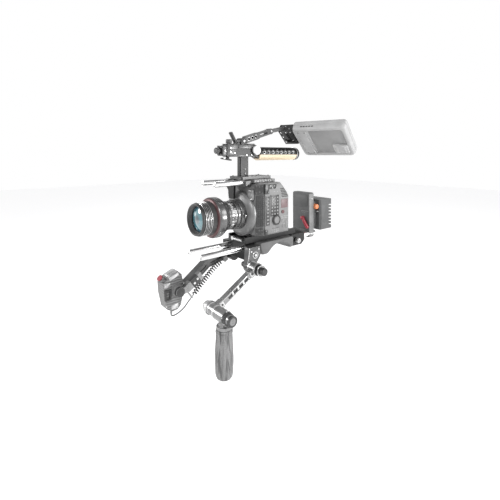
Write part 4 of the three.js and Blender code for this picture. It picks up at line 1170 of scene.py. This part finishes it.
# --- Shoulder pad -------------------------------------------------------------------------
# Moulded foam rubber, crowned across its width with a rolled edge, glued under the base plate.
pad_rubber = coating("pad_rubber", 0.10, 0.62, 0.0, wear_and_highlight=1.6, grain=1300, depth=0.0002)
dress(pad_rubber, "shoulder_pad")
PAD = [
    (24, 42), (25, 28), (31, 14), (40, 8), (52, 9), (62, 17), (74, 27), (90, 33), (108, 34), (128, 29),
    (144, 18), (150, 10), (158, 13), (160, 38), (157, 44.4), (28, 44.4),
]
arch, _ = smooth_route([(0, y, z) for y, z in PAD[1:13]], 46)
arch = [(24, 42)] + [(p.y, p.z) for p in arch] + [(160, 38), (157, 44.4), (28, 44.4)]
pad = bmesh.new()
slices = []
PAD_SLICES = 25
for step in range(PAD_SLICES):
    share = -1 + 2 * step / (PAD_SLICES - 1)
    crown = abs(share) ** 4
    row = []
    for y, z in arch:
        inset = 5.0 * max(0.0, abs(share) - 0.86) / 0.14
        yy = y + (92 - y) / 70 * inset * 0.5
        zz = z + (44.4 - z) / 36 * (inset * 0.55 + 1.4 * crown)
        row.append(pad.verts.new(Vector((60 * share, yy, zz)) * MM))
    slices.append(row)
skin(pad, slices)
rims = [line for line in pad.edges if line.calc_face_angle(0.0) > math.radians(38)]
bmesh.ops.bevel(
    pad, geom=rims, offset=0.0022, segments=4, profile=0.5, affect="EDGES", clamp_overlap=True, material=-1,
)
foam = placed(pad, "shoulder_pad_foam", pad_rubber)
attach(foam, "base")
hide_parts("shoulder_pad")

# --- Right arm, slider and grip -----------------------------------------------------------
# A black bracket, a square aluminium arm with a telescoping slider and its screwed clamp, a ribbed
# rosette at the wrist, and a moulded hand grip with shallow wavy grooves across the fingers.
red_plastic = coating("red_plastic", 0.33, 0.3, 0.0, tint=(1.0, 0.13, 0.18), wear_and_highlight=1.4)


def grip_plastic():
    paint = Paint("moulded_grip", 0.5)
    drift = paint.noise(46, 3)
    phase = paint.axis("Z") * 950 + drift * 7
    groove = phase.math("SINE", phase)
    cloud = paint.noise(60, 5)
    cut = (groove * 0.5 + 0.5).step(0.10, 0.55)
    # Convex edges painted lighter: partly wear, partly painted highlight along the edges.
    edge_wear_and_highlight = paint.edges(0.0012) * (0.45 + paint.noise(160, 4))
    # The hollows of the grooves are painted darker: painted shade.
    ground = paint.mix(cut, colour(0.075), colour(0.20))
    ground = paint.mix(cloud.step(0.35, 0.7) * 0.4, ground, colour(0.14))
    paint.set("Base Color", paint.mix(edge_wear_and_highlight.step(0.1, 1.0) * 0.7, ground, colour(0.42)))
    paint.set("Roughness", 0.42 + cloud * 0.15)
    paint.bump(cut + paint.noise(2600, 2) * 0.2, 0.5, 0.0004)
    return paint.material


moulded_grip = grip_plastic()

dress(black_anodised, "right_bracket")
dress(grey_anodised, "right_arm")
dress(arm_grey, "right_slider")
dress(moulded_grip, "right_grip")
dress(red_plastic, "grip_record_button")
dress(black_rubber, "grip_strap_ring")
dress(polished_steel, "cord_coil", "cord_tail")
WRIST = (0, -163, -78)
clamp_screws = Shape()
for y, z in ((-112, -52), (-121, -62)):
    screw(clamp_screws, (-50, y, z), (1, 0, 0), 3.6)
clamp_screws.done("slider_clamp_screws", satin_aluminium, "right_slider", "satin_aluminium")
clamp = Shape()
clamp_turn = Matrix.Translation((0, -116, -58)) @ Matrix.Rotation(math.atan2(-48, -67), 4, "X")
clamp.block((-66.5, -12, -13), (-49.2, 14, 13), 1.6, clamp_turn, 3)
clamp.block((-64, -15, -4), (-52, 17, 4), 1.2, clamp_turn)
clamp.done("slider_clamp_body", dark_grey, "right_slider", "grey_anodised")
Shape().turned([
    [0, -49.0], [3.0, -49.0], [3.6, -49.6], [9.5, -49.6, 1], [12.6, -49.8, 1], [13.3, -50.4, 1],
    [13.3, -59.6, 1],
    [12.4, -60.2], [0, -60.2],
], WRIST, (1, 0, 0), ribs=36, rib_depth=0.6).done(
    "wrist_rosette", dark_grey, "right_slider", "grey_anodised"
)
Shape().turned([
    [12.4, -60.5], [16.2, -60.8], [16.6, -61.6], [16.6, -64.8], [15.6, -66.4], [17.0, -66.8], [17.4, -68.0],
    [17.4, -71.5], [16.6, -72.6], [18.6, -73.2], [18.9, -74.8], [12.4, -74.8],
], WRIST, (1, 0, 0), 72).done("wrist_rings", panel_grey, "right_grip", "grey_paint")
# The plates over the top of the grip are bright satin metal: partly its light top cap, partly painted
# highlight along its top edge.
details = Shape()
details.block(
    (-104, -186, -33), (-82, -160, -29.2), 1.2,
    Matrix.Translation((0, -172, -34)) @ Matrix.Rotation(
        math.radians(20), 4, "X",
    ) @ Matrix.Translation((0, 172, 32.5)),
    3,
)
details.block((-75, -199, -66), (-73.2, -182, -54), 1.4, None, 3)
details.block((-75, -178, -128), (-73.2, -158, -116), 1.4, None, 3)
lid_turn = Matrix.Translation((0, -172, -36)) @ Matrix.Rotation(math.radians(20.5), 4, "X")
details.block((-109, -15, 0.6), (-77, 14.5, 3.2), 1.2, lid_turn, 3)
details.block((-76.5, -15, -9.5), (-73.4, 15, 1.6), 1.2, lid_turn, 3)
details.done("grip_side_plates", satin_aluminium, "right_grip", "pale_paint")
grip_marks = Shape()
for y, z in ((-176, -36), (-166, -33)):
    grip_marks.block((-96, y, z), (-90, y + 5, z + 1.6), 0.3, None)
for y, z in ((-196, -60), (-150, -118), (-193, -116)):
    screw(grip_marks, (-74, y, z), (1, 0, 0), 1.8)
grip_marks.done("grip_marks", white_mark, "right_grip", "satin_aluminium")
arm_marks = Shape()
arm_turn = Matrix.Translation((0, -67, -24)) @ Matrix.Rotation(math.atan2(-48, -67), 4, "X")
for edge in (-12.0, 9.2):
    arm_marks.block((-66.6, 6, edge), (-64.9, 60, edge + 2.8), 0.6, arm_turn)
arm_marks.done("right_arm_flanges", grey_anodised, "right_arm", "grey_anodised")

# --- Battery plate and battery ------------------------------------------------------------
# A moulded plate on the rear rods with a power socket and a red latch lever. The battery slides
# down on to it, and its ribbed case is welded from two shells.
battery_grey = coating("battery_grey", 0.066, 0.44, 0.05, tint=(1, 1.02, 1.03), wear_and_highlight=2.6)
orange_plastic = coating("orange_plastic", 0.62, 0.42, 0.0, tint=(1.0, 0.33, 0.13), wear_and_highlight=1.1)
dress(battery_grey, "battery_plate", "battery")
dress(red_plastic, "battery_latch")
face_details = Shape()
face_details.block((2, 257.6, 103.4), (33, 259.3, 105.4), 0.3)
face_details.block((2, 257.9, 99.2), (20, 259.3, 100.2), 0.2)
face_details.block((-6, 257.9, 41), (16, 259.3, 43), 0.3)
face_details.block((34.8, 258.2, 24), (37.4, 279, 163), 0.5)
for row in range(4):
    face_details.turned(
        [[0, 0], [1.6, 0], [1.6, 0.6], [1.2, 0.9], [0, 0.9]], (37.2, 272, 36 + row * 8.5), (1, 0, 0), 20,
    )
face_details.block((40.0, 287, 101), (45.5, 295, 105), 0.5)
face_details.done("battery_plate_marks", panel_grey, "base", "pale_paint")
ribs_black = Shape()
ribs_black.block((-30, 257.8, 118), (28, 259.3, 158), 1.2, None, 3)
ribs_black.block((-34, 256.6, 24), (-2, 259.3, 34), 1.0, None, 3)
for row in range(6):
    ribs_black.block((31.6, 282 + row * 2.4, 48), (32.7, 283.2 + row * 2.4, 96), 0.3)
ribs_black.done("battery_plate_covers", battery_grey, "base", "grey_paint")
side_parts = Shape()
screw(side_parts, (37, 269.5, 146), (1, 0, 0), 3.0)
screw(side_parts, (37, 269.5, 30), (1, 0, 0), 2.4)
side_parts.done("battery_plate_screws", satin_aluminium, "base", "satin_aluminium")
Shape().turned([
    [0, 31.8], [8.6, 31.8], [8.6, 41.0], [8.2, 43.0], [7.2, 44.2], [5.6, 44.6], [4.8, 43.8], [2.4, 43.6],
    [0, 43.8],
], (0, 289.6, 119), (1, 0, 0), 56).done("power_socket_cap", orange_plastic, "base", "pale_paint")
latch_turn = Matrix.Translation((20, 0, 68)) @ Matrix.Rotation(
    math.radians(-35), 4, "Y",
) @ Matrix.Translation((-20, 0, -68))
latch = Shape()
latch.block((15.5, 250.2, 46), (25.5, 258.6, 90), 3.0, latch_turn, 4)
latch.turned(
    [[0, 247.8], [3.6, 248], [5.0, 249], [5.6, 250.4], [5.6, 258.6], [0, 258.6]], (10, 0, 82), (0, 1, 0),
    40,
)
latch.block((17.5, 249.0, 50), (19.5, 252, 80), 0.8, latch_turn)
latch.done("battery_latch_lever", red_plastic, "battery_latch", "red_plastic", ("battery_latch",))
battery_details = Shape()
battery_details.block((47.6, 308, 56), (48.7, 340, 124), 0.6, None, 3)
battery_details.block((48.3, 312, 60), (49.0, 336, 62), 0.3)
battery_details.block((48.3, 322, 66), (49.0, 323.4, 120), 0.3)
battery_details.block((-49, 303.5, 42.5), (49, 304.6, 139.5), 0.3)
battery_details.block((-30, 308, 140.6), (30, 340, 141.5), 0.5, None, 3)
battery_details.done("battery_seams", battery_grey, "battery", "grey_paint")

# --- Floor and soft studio light ----------------------------------------------------------
# A plain pale floor under the rig, a white surround that darkens overhead, and four soft lamps.
floor_mesh = bpy.data.meshes.new("floor")
sheet = bmesh.new()
bmesh.ops.create_grid(sheet, x_segments=1, y_segments=1, size=6)
sheet.to_mesh(floor_mesh)
sheet.free()
floor = bpy.data.objects.new("floor", floor_mesh)
floor.location.z = -0.30
bpy.context.scene.collection.objects.link(floor)
painted_glint_strength = Paint("floor", 0.9)
painted_glint_strength.shader.inputs["Base Color"].default_value = colour(0.92)
painted_glint_strength.shader.inputs["Emission Color"].default_value = colour(1.0)
painted_glint_strength.shader.inputs["Emission Strength"].default_value = 0.40
floor_mesh.materials.append(painted_glint_strength.material)

world = bpy.data.worlds.new("studio")
world.use_nodes = True
sky = world.node_tree
background = sky.nodes["Background"]
background.inputs["Strength"].default_value = 1.0
way = sky.nodes.new("ShaderNodeTexCoord")
split = sky.nodes.new("ShaderNodeSeparateXYZ")
fade = sky.nodes.new("ShaderNodeValToRGB")
fade.color_ramp.elements[0].position = 0.42
fade.color_ramp.elements[0].color = (1, 1, 1, 1)
fade.color_ramp.elements[1].position = 0.75
fade.color_ramp.elements[1].color = (0.34, 0.34, 0.35, 1)
sky.links.new(way.outputs["Generated"], split.inputs[0])
sky.links.new(split.outputs["Z"], fade.inputs[0])
sky.links.new(fade.outputs["Color"], background.inputs["Color"])
bpy.context.scene.world = world
bpy.context.scene.view_settings.view_transform = "Standard"
for name, spot, aim, size, power in (
    ("key", (1.5, -1.3, 1.7), (0, 0, 0.1), 1.0, 34),
    ("side", (1.6, 1.6, 1.1), (0, 0.1, 0.1), 0.8, 16),
    ("front", (-1.5, -1.5, 0.55), (0, -0.1, 0.12), 0.45, 16),
    ("strip", (1.05, 0.75, 0.16), (0, -0.1, 0.12), 0.16, 7),
):
    lamp = bpy.data.objects.new(name, bpy.data.lights.new(name, "AREA"))
    lamp.data.size = size
    lamp.data.energy = power
    lamp.location = spot
    lamp.rotation_euler = (Vector(aim) - Vector(spot)).to_track_quat("-Z", "Y").to_euler()
    bpy.context.scene.collection.objects.link(lamp)
